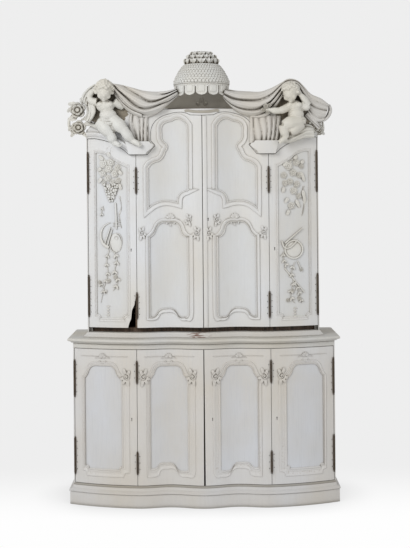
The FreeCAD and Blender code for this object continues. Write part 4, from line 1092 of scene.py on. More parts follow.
fix(joined("canopy_dome", [dome] + rim_parts), carving_paint, "carving", "root", "canopy", angle=45.0)

# Lambrequin: seven rounded tabs on a plain band under the rim, each cut with a line inside its edge.
# They are carved in one strip with the canopy and hang free of the wall behind.
TABS = 7
BAND_FOOT = 2.576
TAB_FOOT = 2.518
TAB_SHARE = 0.445
TAB_ROUNDING = 0.60
TAB_LINE_DEPTH = 0.0052
TAB_THICKNESS = 0.009
BAND_PROFILE = ((-0.010, 0.0), (-0.001, 0.0), (0.0, -0.002), (0.0, -0.011), (-0.002, -0.014),
                (-0.010, -0.014))
band = run_out("band", [[round_rim(1.0, math.pi * i / 80, RIM + z, out) for out, z in BAND_PROFILE]
                        for i in range(81)])
tabs = [band]
for k in range(TABS):
    rings = []
    span = math.pi / TABS
    for j in range(15):
        down = j / 14
        narrow = 1.0 if down < TAB_ROUNDING else math.sqrt(
            max(0.0, 1 - ((down - TAB_ROUNDING) / (1 - TAB_ROUNDING)) ** 2))
        narrow = max(narrow, 0.10)
        front, rear = [], []
        for i in range(17):
            u = -1 + i / 8
            turn = (k + 0.5) * span + u * TAB_SHARE * span * narrow
            edge = min(1 - abs(u), (1 - down) * 1.2) / 0.42
            groove = -TAB_LINE_DEPTH * math.exp(-((edge - 0.75) / 0.22) ** 2) + 0.0012 * min(1.0, edge)
            z = BAND_FOOT + 0.002 - down * (BAND_FOOT + 0.002 - TAB_FOOT)
            front.append(round_rim(1.0, turn, z, groove - 0.001))
            rear.append(round_rim(1.0, turn, z, -TAB_THICKNESS))
        rings.append(front + rear[::-1])
    tabs.append(run_out("tab", rings))
fix(joined("lambrequin_tabs", tabs), carving_paint, "carving", "root", "lambrequin")

# Tuft: a dense crown of curled leaves stands on the dome, in three rows round a core.
# The leaves are undercut, so that dark gaps show between and below them.
TUFT_FOOT = RIM + DOME_RISE
TUFT_HALF = 0.092
TUFT_REACH = 0.074
TUFT_CORE = (0.074, 0.052, 0.066)
# number of leaves, share of the reach, height of the leaf's foot and of its bend, and its width
TUFT_ROWS = ((7, 1.04, -0.004, 0.028, 0.030), (6, 0.88, 0.018, 0.052, 0.029),
             (5, 0.62, 0.036, 0.072, 0.027),
             (3, 0.30, 0.046, 0.0745, 0.025))


parts = []
for row, (count, reach, low, high, width) in enumerate(TUFT_ROWS):
    for k in range(count):
        turn = math.pi * (k + 0.5 * (row % 2) + 0.25) / (count - 0.5 + 0.5 * (row % 2))
        out = Vector((-math.cos(turn) * TUFT_HALF, -math.sin(turn) * TUFT_REACH, 0))
        foot = Vector((0, CANOPY_BACK + 0.002, TUFT_FOOT))
        bend = foot + out * reach
        spots = (foot + out * reach * 0.70 + Vector((0, 0, low)),
                 bend * 0.94 + foot * 0.06 + Vector((0, 0, (low + high) / 2)),
                 bend + Vector((0, 0, high)), bend + out * 0.08 + Vector((0, 0, high - 0.006)),
                 bend + out * 0.07 + Vector((0, 0, high - 0.026)))
        parts.append(leaf("plume", spots, width, out.normalized() + Vector((0, 0, 0.25)), 0.007, 2, 0.2, 16,
                          0.5))
core = egg_shape((0, CANOPY_BACK - 0.004, TUFT_FOOT + 0.006), TUFT_CORE)
bpy.ops.object.mode_set(mode="EDIT")
bpy.ops.mesh.select_all(action="SELECT")
bpy.ops.mesh.bisect(plane_co=(0, CANOPY_BACK + 0.006, 0), plane_no=(0, 1, 0), clear_outer=True,
                    use_fill=True)
bpy.ops.mesh.select_all(action="SELECT")
bpy.ops.mesh.bisect(plane_co=(0, 0, TUFT_FOOT - 0.003), plane_no=(0, 0, -1), clear_outer=True,
                    use_fill=True)
bpy.ops.object.mode_set(mode="OBJECT")
parts.append(core)
fix(joined("crown_leaves", parts), carving_paint, "carving", "root", "crown_tuft", angle=50.0)

# Hollow wall under the canopy: upright staves glued in a curve, with a pierced trefoil over a curved sill.
# It is in deep shadow, and its paint is made greyer than the rest as painted shade.
NICHE_HALF = 0.236
NICHE_DEPTH = 0.090
NICHE_WALL = 0.014
NICHE_FRONT = UPPER_FACE + FRIEZE_THICKNESS
NICHE_FOOT = 2.445
shade_paint = old_paint("niche_shade_paint", (178, 172, 160), (84, 76, 62), 0.060)


def hollow(x_share, half, depth, z):
    """A place on the curved wall, from its left end to its right end."""
    radius = (half * half + depth * depth) / (2 * depth)
    x = half * x_share
    return Vector((x, NICHE_FRONT + depth - radius + math.sqrt(radius * radius - x * x), z))


rings = []
for share in (0.0, 0.02, 0.98, 1.0):
    tops = [RIM - 0.060 * min(1.0, max(0.0, (abs(i / 24 - 1) - 0.55) / 0.25)) for i in range(49)]
    heights = [NICHE_FOOT + share * (top - NICHE_FOOT) for top in tops]
    inner = [hollow(-1 + i / 24, NICHE_HALF, NICHE_DEPTH, heights[i]) for i in range(49)]
    outer = [hollow(1 - i / 24, NICHE_HALF + NICHE_WALL, NICHE_DEPTH + NICHE_WALL,
                    heights[i]) for i in range(49)]
    rings.append(inner + outer)
wall = run_out("niche_staves", rings)
sill_line = smooth_line(((-0.105, 0, 2.4250), (-0.085, 0, 2.4275), (-0.055, 0, 2.4215), (0.0, 0, 2.4190),
                         (0.055, 0, 2.4215), (0.085, 0, 2.4275), (0.105, 0, 2.4250)), 40)
sill = run_along("sill", sill_line, ((-0.006, -0.002), (-0.006, 0.003), (-0.003, 0.006), (0.003, 0.008),
                                     (0.007, 0.006), (0.009, 0.002), (0.009, -0.002)), UPPER_FACE)
sprigs = []
for dx, dz, turn in ((-0.016, 0.010, 0.5), (0.0, 0.030, 0.0), (0.016, 0.010, -0.5)):
    base = hollow(dx / NICHE_HALF, NICHE_HALF, NICHE_DEPTH, NICHE_FOOT + 0.012 + dz)
    tip = base + Vector((-math.sin(turn) * 0.030, -0.002, math.cos(turn) * 0.030))
    sprigs.append(leaf("sprig", (base, (base + tip) / 2 + Vector((0, -0.005, 0)), tip), 0.009, (0, -1, 0),
                       0.004, 2))
fix(joined("niche_wall", [wall, sill] + sprigs), shade_paint, "carving", "root", "niche")

# Drapery: swags of cloth carved in limewood hang from the canopy to the figures at both sides, and their
# tails fall in upright folds behind the figures' legs. The right one passes over its figure as a hood.
cloth_paint = old_paint("carved_cloth_paint", (210, 207, 202), (82, 72, 57), 0.046, streaks=0.4, wear=0.5)


def draped(name, tops, feet, swell, folds, rise, drift, steps=44, across=48, rear=0.014, start=0.0):
    """Carved cloth between an upper and a lower line. Its folds run along it and drift to the lower edge."""
    top_line, low_line = smooth_line(tops, steps), smooth_line(feet, steps)
    rings = []
    for i in range(steps + 1):
        share = i / steps
        front, back = [], []
        for j in range(across + 1):
            down = j / across
            spot = top_line[i].lerp(low_line[i], down)
            full = math.sqrt(max(0.0, 1 - (2 * down - 1) ** 2))
            wave = 0.20 * math.sin(4.1 * share + 6.0 * down) + 0.08 * math.sin(11.0 * share + 9.0 * down)
            ridge = abs(math.sin(math.pi * (folds * down + drift * share + start + wave))) ** 0.6
            small = abs(math.sin(math.pi * (2.6 * folds * down + 1.7 * drift * share + wave))) ** 0.8
            out = swell * full + rise * ridge * (0.30 + 0.70 * full) + 0.16 * rise * small * full
            front.append(spot + Vector((0, -out, 0)))
            back.append(spot + Vector((0, rear, 0)))
        rings.append(front + back[::-1])
    return run_out(name, rings)


def hanging_folds(name, left, right, count, rise, steps=26):
    """Upright folds between a left and a right line, both given from the top down."""
    left_line, right_line = smooth_line(left, steps), smooth_line(right, steps)
    rings = []
    for i in range(steps + 1):
        share = i / steps
        front, back = [], []
        for j in range(count * 9 + 1):
            across = j / (count * 9)
            spot = left_line[i].lerp(right_line[i], across)
            spot.y = UPPER_FACE + front_depth(spot.x) + 0.002
            wave = 0.22 * math.sin(3.0 * share + 5.0 * across) + 0.12 * math.sin(8.0 * across + 2.0 * share)
            ridge = abs(math.sin(math.pi * (count * across + wave))) ** 0.7
            front.append(spot + Vector((0, -0.006 - rise * ridge * (0.55 + 0.45 * share), 0)))
            back.append(spot + Vector((0, 0.006, 0)))
        rings.append(front + back[::-1])
    return run_out(name, rings)


parts = [draped("swag", ((-0.546, -0.186, 2.600), (-0.497, -0.182, 2.592), (-0.430, -0.180, 2.574),
                         (-0.356, -0.178, 2.554),
                         (-0.288, -0.178, 2.548), (-0.220, -0.182, 2.551), (-0.158, -0.186, 2.565)),
                ((-0.541, -0.182, 2.548), (-0.499, -0.176, 2.483), (-0.438, -0.174, 2.421),
                 (-0.357, -0.174, 2.386),
                 (-0.283, -0.174, 2.410), (-0.214, -0.176, 2.462), (-0.143, -0.184, 2.523)), 0.026, 2.9,
                 0.032, -1.7),
         draped("fold", ((-0.546, -0.196, 2.584), (-0.509, -0.196, 2.559), (-0.467, -0.192, 2.509),
                         (-0.424, -0.190, 2.460),
                         (-0.369, -0.190, 2.425)),
                ((-0.553, -0.190, 2.560), (-0.529, -0.188, 2.510), (-0.486, -0.186, 2.454),
                 (-0.431, -0.184, 2.408),
                 (-0.369, -0.184, 2.384)), 0.016, 1.5, 0.012, 0.4),
         hanging_folds("tail", ((-0.442, -0.158, 2.413), (-0.448, -0.160, 2.363), (-0.446, -0.163, 2.301),
                                (-0.440, -0.166, 2.239)),
                       ((-0.330, -0.170, 2.411), (-0.333, -0.174, 2.361), (-0.333, -0.178, 2.299),
                        (-0.330, -0.180, 2.237)),
                       4, 0.017)]
fix(joined("drapery_left_cloth", parts), cloth_paint, "carving", "root", "drapery_left", angle=60.0)
parts = [draped("swag", ((0.145, -0.186, 2.562), (0.213, -0.182, 2.550), (0.287, -0.178, 2.545),
                         (0.361, -0.178, 2.542),
                         (0.423, -0.180, 2.561), (0.466, -0.184, 2.582), (0.509, -0.188, 2.606)),
                ((0.132, -0.184, 2.505), (0.187, -0.176, 2.446), (0.255, -0.174, 2.402),
                 (0.335, -0.174, 2.378),
                 (0.397, -0.174, 2.386), (0.453, -0.176, 2.435), (0.497, -0.180, 2.502)), 0.026, 2.9, 0.032,
                 1.7, start=0.3),
         hanging_folds("tail", ((0.295, -0.170, 2.399), (0.298, -0.174, 2.349), (0.297, -0.178, 2.287),
                                (0.293, -0.180, 2.225)),
                       ((0.491, -0.158, 2.392), (0.491, -0.160, 2.342), (0.490, -0.163, 2.287),
                        (0.483, -0.166, 2.231)), 6, 0.017),
         draped("hood", ((0.491, -0.190, 2.584), (0.515, -0.196, 2.611), (0.552, -0.198, 2.619),
                         (0.595, -0.194, 2.606),
                         (0.633, -0.186, 2.571), (0.677, -0.172, 2.526), (0.741, -0.150, 2.499),
                         (0.792, -0.130, 2.463)),
                ((0.485, -0.184, 2.551), (0.522, -0.188, 2.572), (0.558, -0.190, 2.574),
                 (0.596, -0.186, 2.550),
                 (0.627, -0.176, 2.483), (0.658, -0.160, 2.409), (0.703, -0.140, 2.354),
                 (0.758, -0.124, 2.358)),
                0.020, 2.6, 0.017, 0.9),
         draped("fold", ((0.665, -0.156, 2.416), (0.697, -0.146, 2.385), (0.722, -0.136, 2.354),
                         (0.741, -0.128, 2.324)),
                ((0.633, -0.160, 2.391), (0.665, -0.150, 2.360), (0.697, -0.140, 2.326),
                 (0.722, -0.130, 2.299)),
                0.012, 1.4, 0.008, 0.3, 20, 24),
         rod("curl", smooth_line(((0.792, -0.132, 2.463), (0.799, -0.134, 2.429), (0.785, -0.136, 2.391),
                                  (0.758, -0.136, 2.362)), 14),
             [0.007 + 0.006 * math.sin(math.pi * i / 14) for i in range(15)], 10)]
fix(joined("drapery_right_cloth", parts), cloth_paint, "carving", "root", "drapery_right", angle=60.0)

# Lining: the back of the cloth hangs in shadow behind the figures and closes the gaps round them. Its dark
# paint is painted shade.
lining_shade_paint = old_paint("lining_shade_paint", (150, 141, 124), (78, 68, 52), 0.060, streaks=0.2)
for word, tops, feet in (("left", ((-0.691, -0.166, 2.532), (-0.647, -0.172, 2.556),
                                   (-0.597, -0.176, 2.574), (-0.547, -0.176, 2.579),
                                   (-0.505, -0.174, 2.542),
                                   (-0.456, -0.172, 2.474), (-0.432, -0.170, 2.424)),
                          ((-0.691, -0.150, 2.372), (-0.650, -0.154, 2.359), (-0.607, -0.158, 2.358),
                           (-0.563, -0.162, 2.358), (-0.519, -0.166, 2.357),
                           (-0.476, -0.168, 2.369), (-0.438, -0.168, 2.381))),
                         ("right", ((0.423, -0.172, 2.516), (0.460, -0.176, 2.552), (0.497, -0.180, 2.576),
                                    (0.553, -0.182, 2.594), (0.609, -0.178, 2.569),
                                    (0.646, -0.170, 2.520), (0.690, -0.156, 2.484)),
                          ((0.435, -0.170, 2.386), (0.478, -0.168, 2.367), (0.521, -0.166, 2.348),
                           (0.565, -0.162, 2.342), (0.608, -0.158, 2.335),
                           (0.652, -0.152, 2.335), (0.690, -0.146, 2.342)))):
    lining = draped("lining", tops, feet, 0.002, 3.0, 0.003, 0.6, 30, 24)
    fix(lining, lining_shade_paint, "carving", "root", angle=60.0)

# Carved children: two plump figures of limewood sit on the cornices at the ends of the swags, one facing
# forward with its legs hanging to the block, and one turned to the middle with flowers in its hand.
FIGURE_GRAIN = 0.0036


def limb(spots, radii, steps=16):
    """A rounded arm, leg or finger through its joints."""
    line = smooth_line(spots, steps)
    last = len(radii) - 1
    sizes = []
    for i in range(steps + 1):
        place = min(i * last / steps, last - 1e-6)
        k = int(place)
        blend = (1 - math.cos(math.pi * (place - k))) / 2
        sizes.append(radii[k] * (1 - blend) + radii[k + 1] * blend)
    return rod("limb", line, sizes, 14)


def carved_whole(name, forms, grain, rounds):
    """The forms are carved into one body, with soft transitions."""
    whole = joined(name, forms)
    bpy.ops.object.modifier_add(type="REMESH")
    whole.modifiers[-1].mode = "VOXEL"
    whole.modifiers[-1].voxel_size = grain
    bpy.ops.object.modifier_apply(modifier=whole.modifiers[-1].name)
    bpy.ops.object.modifier_add(type="SMOOTH")
    whole.modifiers[-1].factor = 0.5
    whole.modifiers[-1].iterations = rounds
    bpy.ops.object.modifier_apply(modifier=whole.modifiers[-1].name)
    return whole


def head_forms(spot, size, turn, nod, tilt, seed):
    """A child's head with full cheeks and curls. The turn is to the viewer's right, in degrees."""
    spot = Vector(spot)
    ahead = Vector((math.sin(math.radians(turn)), -math.cos(math.radians(turn)), 0))
    ahead = (ahead * math.cos(math.radians(nod)) - Vector((0, 0,
                                                           1)) * math.sin(math.radians(nod))).normalized()
    side = ahead.cross(Vector((0, 0, 1))).normalized() * -1
    up = side.cross(ahead).normalized() * -1
    if up.z < 0:
        up = -up
    lean = math.radians(tilt)
    side, up = side * math.cos(lean) + up * math.sin(lean), up * math.cos(lean) - side * math.sin(lean)

    def at(across, high, out):
        return spot + (side * across + up * high + ahead * out) * size

    def egg(across, high, out, radius):
        return egg_shape(at(across, high, out), radius * size)

    forms = [egg(0, 0.006, 0.000, 0.047), egg(0, -0.014, 0.014, 0.037), egg(0, -0.006, 0.020, 0.035)]
    for way in (-1, 1):
        forms += [egg(way * 0.021, -0.021, 0.029, 0.0165), egg(way * 0.018, 0.010, 0.036, 0.0100),
                  egg(way * 0.0155, -0.0035, 0.0425, 0.0062), egg(way * 0.0075, 0.009, 0.042, 0.0060)]
    forms += [egg(0, -0.004, 0.047, 0.0048), egg(0, -0.010, 0.0515, 0.0060), egg(0, -0.015, 0.0525, 0.0062),
              egg(-0.005, -0.016, 0.049, 0.0040), egg(0.005, -0.016, 0.049, 0.0040),
              egg(0, -0.043, 0.034, 0.0110)]
    for dx in (-0.007, -0.0025, 0.0025, 0.007):
        forms += [egg(dx, -0.0268, 0.0470 - abs(dx) * 0.35, 0.0036),
                  egg(dx * 0.8, -0.0335, 0.0450 - abs(dx) * 0.35, 0.0038)]
    chance = random.Random(seed)
    for k in range(88):
        round_turn = k * 2.399963
        high = 1 - 1.42 * (k + 0.5) / 88
        wide = math.sqrt(max(0.0, 1 - high * high))
        x, out = wide * math.cos(round_turn), wide * math.sin(round_turn)
        if out > 0.30 and high < 0.42:
            continue
        reach = 0.0500 + chance.uniform(-0.001, 0.004)
        forms.append(egg(x * reach, 0.006 + high * reach, out * reach,
                         0.0088 + chance.uniform(-0.002, 0.002)))
    return forms


def fingers(palm, aim, size=0.0045, spread=0.0075):
    """A small hand: a palm and its fingers towards the aim."""
    palm, aim = Vector(palm), Vector(aim)
    way = (aim - palm).normalized()
    across = way.cross(Vector((0, 1, 0))).normalized()
    forms = [egg_shape(palm, (0.0135, 0.0105, 0.0135))]
    for k in range(4):
        root = palm + across * spread * (k - 1.5) + way * 0.006
        forms.append(limb((root, root + way * 0.014 + Vector((0, -0.003, 0)), root + way * 0.023),
                          (size, size, size * 0.7), 6))
    forms.append(limb((palm + across * 0.010, palm + across * 0.018 + way * 0.010),
                      (size * 1.2, size * 0.8), 5))
    return forms


def foot(heel, toe):
    """A small foot with five toes."""
    heel, toe = Vector(heel), Vector(toe)
    way = (toe - heel).normalized()
    across = way.cross(Vector((0, -0.7, 0.7))).normalized()
    forms = [limb((heel, heel.lerp(toe, 0.5) + Vector((0, -0.003, 0.004)), toe), (0.0165, 0.0170, 0.0140),
                  8)]
    for k in range(5):
        forms.append(egg_shape(toe + across * 0.0058 * (k - 2) + way * (0.010 - 0.0012 * abs(k - 1)),
                               0.0050 - 0.0004 * k))
    return forms


def trunk(neck, chest, belly, hips, wide):
    """The body of a child, with its round belly and folds of plump skin."""
    forms = [limb((neck, Vector(neck).lerp(Vector(chest), 0.6)), (0.024, 0.034), 6),
             egg_shape(chest, (wide, 0.040, 0.040)), egg_shape(belly, (wide * 0.94, 0.044, 0.040)),
             egg_shape(hips, (wide * 1.04, 0.042, 0.034))]
    for way in (-1, 1):
        forms.append(egg_shape(Vector(chest) + Vector((way * wide * 0.50, -0.026, 0.008)),
                               (0.022, 0.016, 0.017)))
    return forms


left = head_forms((-0.599, -0.222, 2.553), 1.10, 8, 24, -4, 5)
left += trunk((-0.595, -0.205, 2.497), (-0.594, -0.200, 2.460), (-0.577, -0.206, 2.403),
              (-0.588, -0.198, 2.365), 0.057)
left += [limb(((-0.540, -0.205, 2.487), (-0.513, -0.192, 2.470), (-0.487, -0.176, 2.452)),
              (0.026, 0.025, 0.020)),
         limb(((-0.644, -0.200, 2.485), (-0.676, -0.196, 2.492), (-0.697, -0.196, 2.514)),
              (0.026, 0.024, 0.019)),
         limb(((-0.697, -0.196, 2.514), (-0.681, -0.206, 2.541), (-0.653, -0.212, 2.561)),
              (0.020, 0.020, 0.014)),
         limb(((-0.624, -0.200, 2.359), (-0.592, -0.222, 2.320), (-0.558, -0.228, 2.281)),
              (0.044, 0.042, 0.029)),
         limb(((-0.561, -0.228, 2.287), (-0.553, -0.222, 2.258), (-0.542, -0.216, 2.231)),
              (0.029, 0.031, 0.018)),
         limb(((-0.550, -0.200, 2.371), (-0.509, -0.228, 2.338), (-0.478, -0.236, 2.308)),
              (0.044, 0.043, 0.030)),
         limb(((-0.480, -0.236, 2.313), (-0.456, -0.232, 2.276), (-0.426, -0.226, 2.244)),
              (0.030, 0.031, 0.018))]
left += foot((-0.544, -0.216, 2.229), (-0.507, -0.236, 2.215))
left += foot((-0.427, -0.226, 2.241), (-0.384, -0.240, 2.216))
left += fingers((-0.647, -0.214, 2.564), (-0.627, -0.218, 2.580))
left_figure = carved_whole("figure_left", left, FIGURE_GRAIN, 2)
wraps = [draped("wrap", ((-0.642, -0.196, 2.498), (-0.651, -0.192, 2.468), (-0.654, -0.190, 2.425),
                         (-0.671, -0.184, 2.388),
                         (-0.695, -0.176, 2.360)),
                ((-0.689, -0.184, 2.518), (-0.703, -0.178, 2.475), (-0.701, -0.172, 2.439),
                 (-0.708, -0.166, 2.402),
                 (-0.722, -0.160, 2.374)), 0.012, 1.3, 0.008, 0.5, 26, 22),
         draped("wrap", ((-0.641, -0.200, 2.581), (-0.673, -0.196, 2.570), (-0.702, -0.188, 2.551),
                         (-0.724, -0.180, 2.519),
                         (-0.731, -0.170, 2.482)),
                ((-0.642, -0.196, 2.554), (-0.666, -0.190, 2.536), (-0.686, -0.184, 2.520),
                 (-0.698, -0.176, 2.494),
                 (-0.701, -0.168, 2.464)), 0.010, 1.5, 0.007, 0.5, 26, 22),
         draped("wrap", ((-0.631, -0.226, 2.382), (-0.593, -0.240, 2.362), (-0.550, -0.242, 2.362),
                         (-0.514, -0.232, 2.387)),
                ((-0.641, -0.222, 2.361), (-0.596, -0.238, 2.335), (-0.548, -0.240, 2.337),
                 (-0.504, -0.230, 2.368)),
                0.008, 1.6, 0.006, 0.6, 22, 20)]
fix(joined("figure_left", [left_figure] + wraps), carving_paint, "carving", "root", "putto_left",
    angle=70.0)

right = head_forms((0.546, -0.226, 2.533), 1.06, -22, 20, 8, 9)
right += trunk((0.562, -0.210, 2.478), (0.569, -0.204, 2.447), (0.579, -0.206, 2.399),
               (0.590, -0.198, 2.361), 0.053)
right += [limb(((0.534, -0.214, 2.443), (0.499, -0.232, 2.426), (0.473, -0.238, 2.419)),
               (0.026, 0.024, 0.019)),
          limb(((0.476, -0.238, 2.419), (0.449, -0.240, 2.420), (0.422, -0.238, 2.425)),
               (0.020, 0.020, 0.014)),
          limb(((0.609, -0.204, 2.457), (0.640, -0.206, 2.443), (0.658, -0.210, 2.457)),
               (0.026, 0.025, 0.020)),
          limb(((0.657, -0.210, 2.455), (0.633, -0.222, 2.487), (0.609, -0.230, 2.515)),
               (0.021, 0.021, 0.015)),
          limb(((0.599, -0.204, 2.354), (0.544, -0.232, 2.344), (0.499, -0.240, 2.329)),
               (0.045, 0.043, 0.030)),
          limb(((0.500, -0.240, 2.331), (0.507, -0.232, 2.294), (0.519, -0.226, 2.252)),
               (0.030, 0.031, 0.018)),
          limb(((0.605, -0.196, 2.342), (0.566, -0.220, 2.310), (0.538, -0.228, 2.289)),
               (0.042, 0.038, 0.026))]
right += foot((0.518, -0.226, 2.248), (0.481, -0.240, 2.231))
right += fingers((0.413, -0.238, 2.426), (0.390, -0.240, 2.434))
right += fingers((0.604, -0.232, 2.521), (0.589, -0.234, 2.542))
right_figure = carved_whole("figure_right", right, FIGURE_GRAIN, 2)
wraps = [draped("wrap", ((0.508, -0.236, 2.364), (0.546, -0.246, 2.365), (0.590, -0.240, 2.370),
                         (0.628, -0.218, 2.377)),
                ((0.516, -0.238, 2.341), (0.552, -0.248, 2.336), (0.595, -0.242, 2.333),
                 (0.641, -0.216, 2.340)),
                0.008, 1.6, 0.006, 0.6, 22, 20),
         draped("seat", ((0.489, -0.176, 2.304), (0.538, -0.184, 2.297), (0.587, -0.184, 2.313),
                         (0.644, -0.176, 2.325),
                         (0.689, -0.160, 2.316)),
                ((0.476, -0.180, 2.233), (0.537, -0.186, 2.223), (0.587, -0.186, 2.239),
                 (0.643, -0.174, 2.254),
                 (0.695, -0.156, 2.255)), 0.020, 1.7, 0.010, 0.7, 34, 28)]
fix(joined("figure_right", [right_figure] + wraps), carving_paint, "carving", "root", "putto_right",
    angle=70.0)

# End scrolls: a leafy scroll with open blossoms closes the crown at each end, outside the figures.
# The blossoms are carved with three rows of petals, and their paint is darkened deep between them as grime and
# painted shade.
def blossom(spot, radius, depth, petals=5, lean=0.0, around=40):
    """An open blossom that faces the front, with three rows of petals and a heart."""
    spot = Vector(spot)
    line = ((0.60, -0.30, 0), (1.02, 0.00, 0), (1.10, 0.16, 0), (1.02, 0.32, 0), (0.84, 0.30, 0),
            (0.68, 0.16, 0),
            (0.72, 0.44, 1), (0.74, 0.66, 1), (0.62, 0.78, 1), (0.46, 0.62, 1), (0.34, 0.38, 1),
            (0.30, 0.34, 2),
            (0.30, 0.60, 2), (0.20, 0.74, 2), (0.10, 0.66, 2), (0.03, 0.62, 2))
    rings = []
    for reach, out, row in line:
        ring = []
        for i in range(around):
            turn = 2 * math.pi * i / around
            lobe = abs(math.sin(petals * turn / 2 + row * math.pi / 2 + lean)) ** 0.5
            size = radius * reach * (0.80 + 0.22 * lobe) if row < 2 else radius * reach
            high = depth * (out - 0.14 * (1 - lobe) * (row < 2))
            ring.append(spot + Vector((size * math.cos(turn), -high + size * 0.10 * math.sin(turn),
                                       size * math.sin(turn))))
        rings.append(ring)
    return run_out("blossom", rings)


def c_scroll(spots, radius, steps=30, flat=0.8):
    """A rounded scroll that thins out to both ends, along a curved line."""
    line = smooth_line(spots, steps)
    radii = [radius * (0.35 + 0.65 * math.sin(math.pi * i / steps) ** 0.6) for i in range(steps + 1)]
    return rod("scroll", line, radii,
               12, flat)


parts = [blossom((-0.773, -0.118, 2.442), 0.046, 0.046, 5, 0.4),
         blossom((-0.768, -0.116, 2.333), 0.042, 0.044, 5, 1.1),
         c_scroll(((-0.658, -0.180, 2.595), (-0.703, -0.165, 2.563), (-0.734, -0.150, 2.521),
                   (-0.721, -0.140, 2.479), (-0.699, -0.130, 2.448)), 0.011),
         c_scroll(((-0.688, -0.140, 2.466), (-0.672, -0.140, 2.422), (-0.692, -0.132, 2.380),
                   (-0.734, -0.122, 2.352)), 0.013),
         c_scroll(((-0.720, -0.130, 2.467), (-0.708, -0.128, 2.430), (-0.722, -0.122, 2.395),
                   (-0.754, -0.114, 2.381)), 0.009),
         c_scroll(((-0.811, -0.100, 2.414), (-0.830, -0.098, 2.377), (-0.827, -0.098, 2.333),
                   (-0.806, -0.100, 2.299)), 0.009),
         c_scroll(((-0.735, -0.118, 2.350), (-0.696, -0.130, 2.355), (-0.654, -0.146, 2.337),
                   (-0.619, -0.158, 2.306)), 0.015)]
for base, tip, width in (((-0.765, -0.120, 2.474), (-0.838, -0.088, 2.484), 0.017),
                         ((-0.739, -0.124, 2.480), (-0.753, -0.110, 2.522), 0.014),
                         ((-0.779, -0.114, 2.394), (-0.841, -0.088, 2.386), 0.016),
                         ((-0.734, -0.120, 2.399), (-0.703, -0.122, 2.370), 0.012),
                         ((-0.792, -0.112, 2.313), (-0.819, -0.098, 2.277), 0.013),
                         ((-0.748, -0.114, 2.306), (-0.711, -0.118, 2.275), 0.014),
                         ((-0.803, -0.110, 2.457), (-0.843, -0.084, 2.434), 0.014),
                         ((-0.805, -0.104, 2.345), (-0.836, -0.088, 2.315), 0.012)):
    base, tip = Vector(base), Vector(tip)
    parts.append(leaf("leaf", (base, base.lerp(tip, 0.5) + Vector((0, -0.012, 0)), tip), width, (0, -1, 0),
                      0.006, 3))
fix(joined("left_end_carving", parts), carving_paint, "carving", "root", "end_scroll_left", angle=55.0)
parts = [blossom((0.714, -0.124, 2.320), 0.030, 0.036, 5, 0.2),
         blossom((0.730, -0.118, 2.296), 0.022, 0.028, 5, 0.9),
         blossom((0.683, -0.136, 2.326), 0.022, 0.028, 5, 1.4),
         c_scroll(((0.752, -0.112, 2.362), (0.756, -0.106, 2.319), (0.747, -0.106, 2.294),
                   (0.724, -0.114, 2.277)), 0.010),
         c_scroll(((0.607, -0.176, 2.317), (0.645, -0.166, 2.331), (0.683, -0.152, 2.320),
                   (0.703, -0.138, 2.290)), 0.011),
         c_scroll(((0.613, -0.174, 2.294), (0.651, -0.164, 2.304), (0.683, -0.150, 2.292),
                   (0.703, -0.134, 2.280)), 0.009)]
for base, tip, width in (((0.716, -0.132, 2.330), (0.741, -0.116, 2.371), 0.014),
                         ((0.684, -0.146, 2.338), (0.665, -0.148, 2.363), 0.011),
                         ((0.697, -0.134, 2.299), (0.669, -0.140, 2.276), 0.013),
                         ((0.730, -0.116, 2.306), (0.763, -0.098, 2.332), 0.012),
                         ((0.737, -0.108, 2.300), (0.767, -0.094, 2.278), 0.012)):
    base, tip = Vector(base), Vector(tip)
    parts.append(leaf("leaf", (base, base.lerp(tip, 0.5) + Vector((0, -0.010, 0)), tip), width, (0, -1, 0),
                      0.006, 3))
fix(joined("right_end_carving", parts), carving_paint, "carving", "root", "end_scroll_right", angle=55.0)
flowers = [blossom((0.394, -0.246, 2.448), 0.015, 0.016, 5, 0.3, 30),
           blossom((0.379, -0.242, 2.426), 0.013, 0.014, 5, 1.0, 30),
           blossom((0.415, -0.240, 2.453), 0.012, 0.013, 5, 1.6, 30),
           blossom((0.403, -0.244, 2.409), 0.011, 0.012, 5, 0.7, 30)]
fix(joined("flowers_in_hand", flowers), carving_paint, "carving", "root", angle=55.0)

# Trophies: thin limewood carvings glued on the fields of the upper side doors. Each hangs from a ribbon:
# a bunch of flowers, an instrument, leafy stems and a few drops. The left one has grapes, and the right one
# has a drum.
FIELD_FACE = UPPER_FACE + PANEL_BACK
trophy_paint = old_paint("trophy_paint", (218, 216, 210), (126, 116, 96), 0.012, streaks=0.3, wear=0.4)


def flat(x, z, out=0.0):
    """A place on the field before it is bent, with its height over the field."""
    return Vector((x, -out, z))


def sprig(spots, thick, width, count, rise=0.007):
    """A stem with pairs of small leaves along it."""
    line = smooth_line([flat(x, z, 0.003) for x, z in spots], 24)
    forms = [rod("stem", line, [thick * (1 - 0.5 * i / 24) for i in range(25)], 8)]
    for k in range(count):
        place = int(24 * (k + 0.7) / (count + 0.4))
        along = (line[min(place + 1, 24)] - line[place - 1]).normalized()
        for way in (-1, 1):
            aim = (along * 0.75 + Vector((-along.z, 0, along.x)) * way * 0.75).normalized()
            root = line[place]
            forms.append(leaf("leaf", (root, root + aim * width * 1.1 + Vector((0, -rise, 0)),
                                       root + aim * width * 2.3 + Vector((0, -rise * 0.4, 0))),
                              width * 0.52, (0, -1, 0), 0.004, 2, 0.3, 8))
    return forms


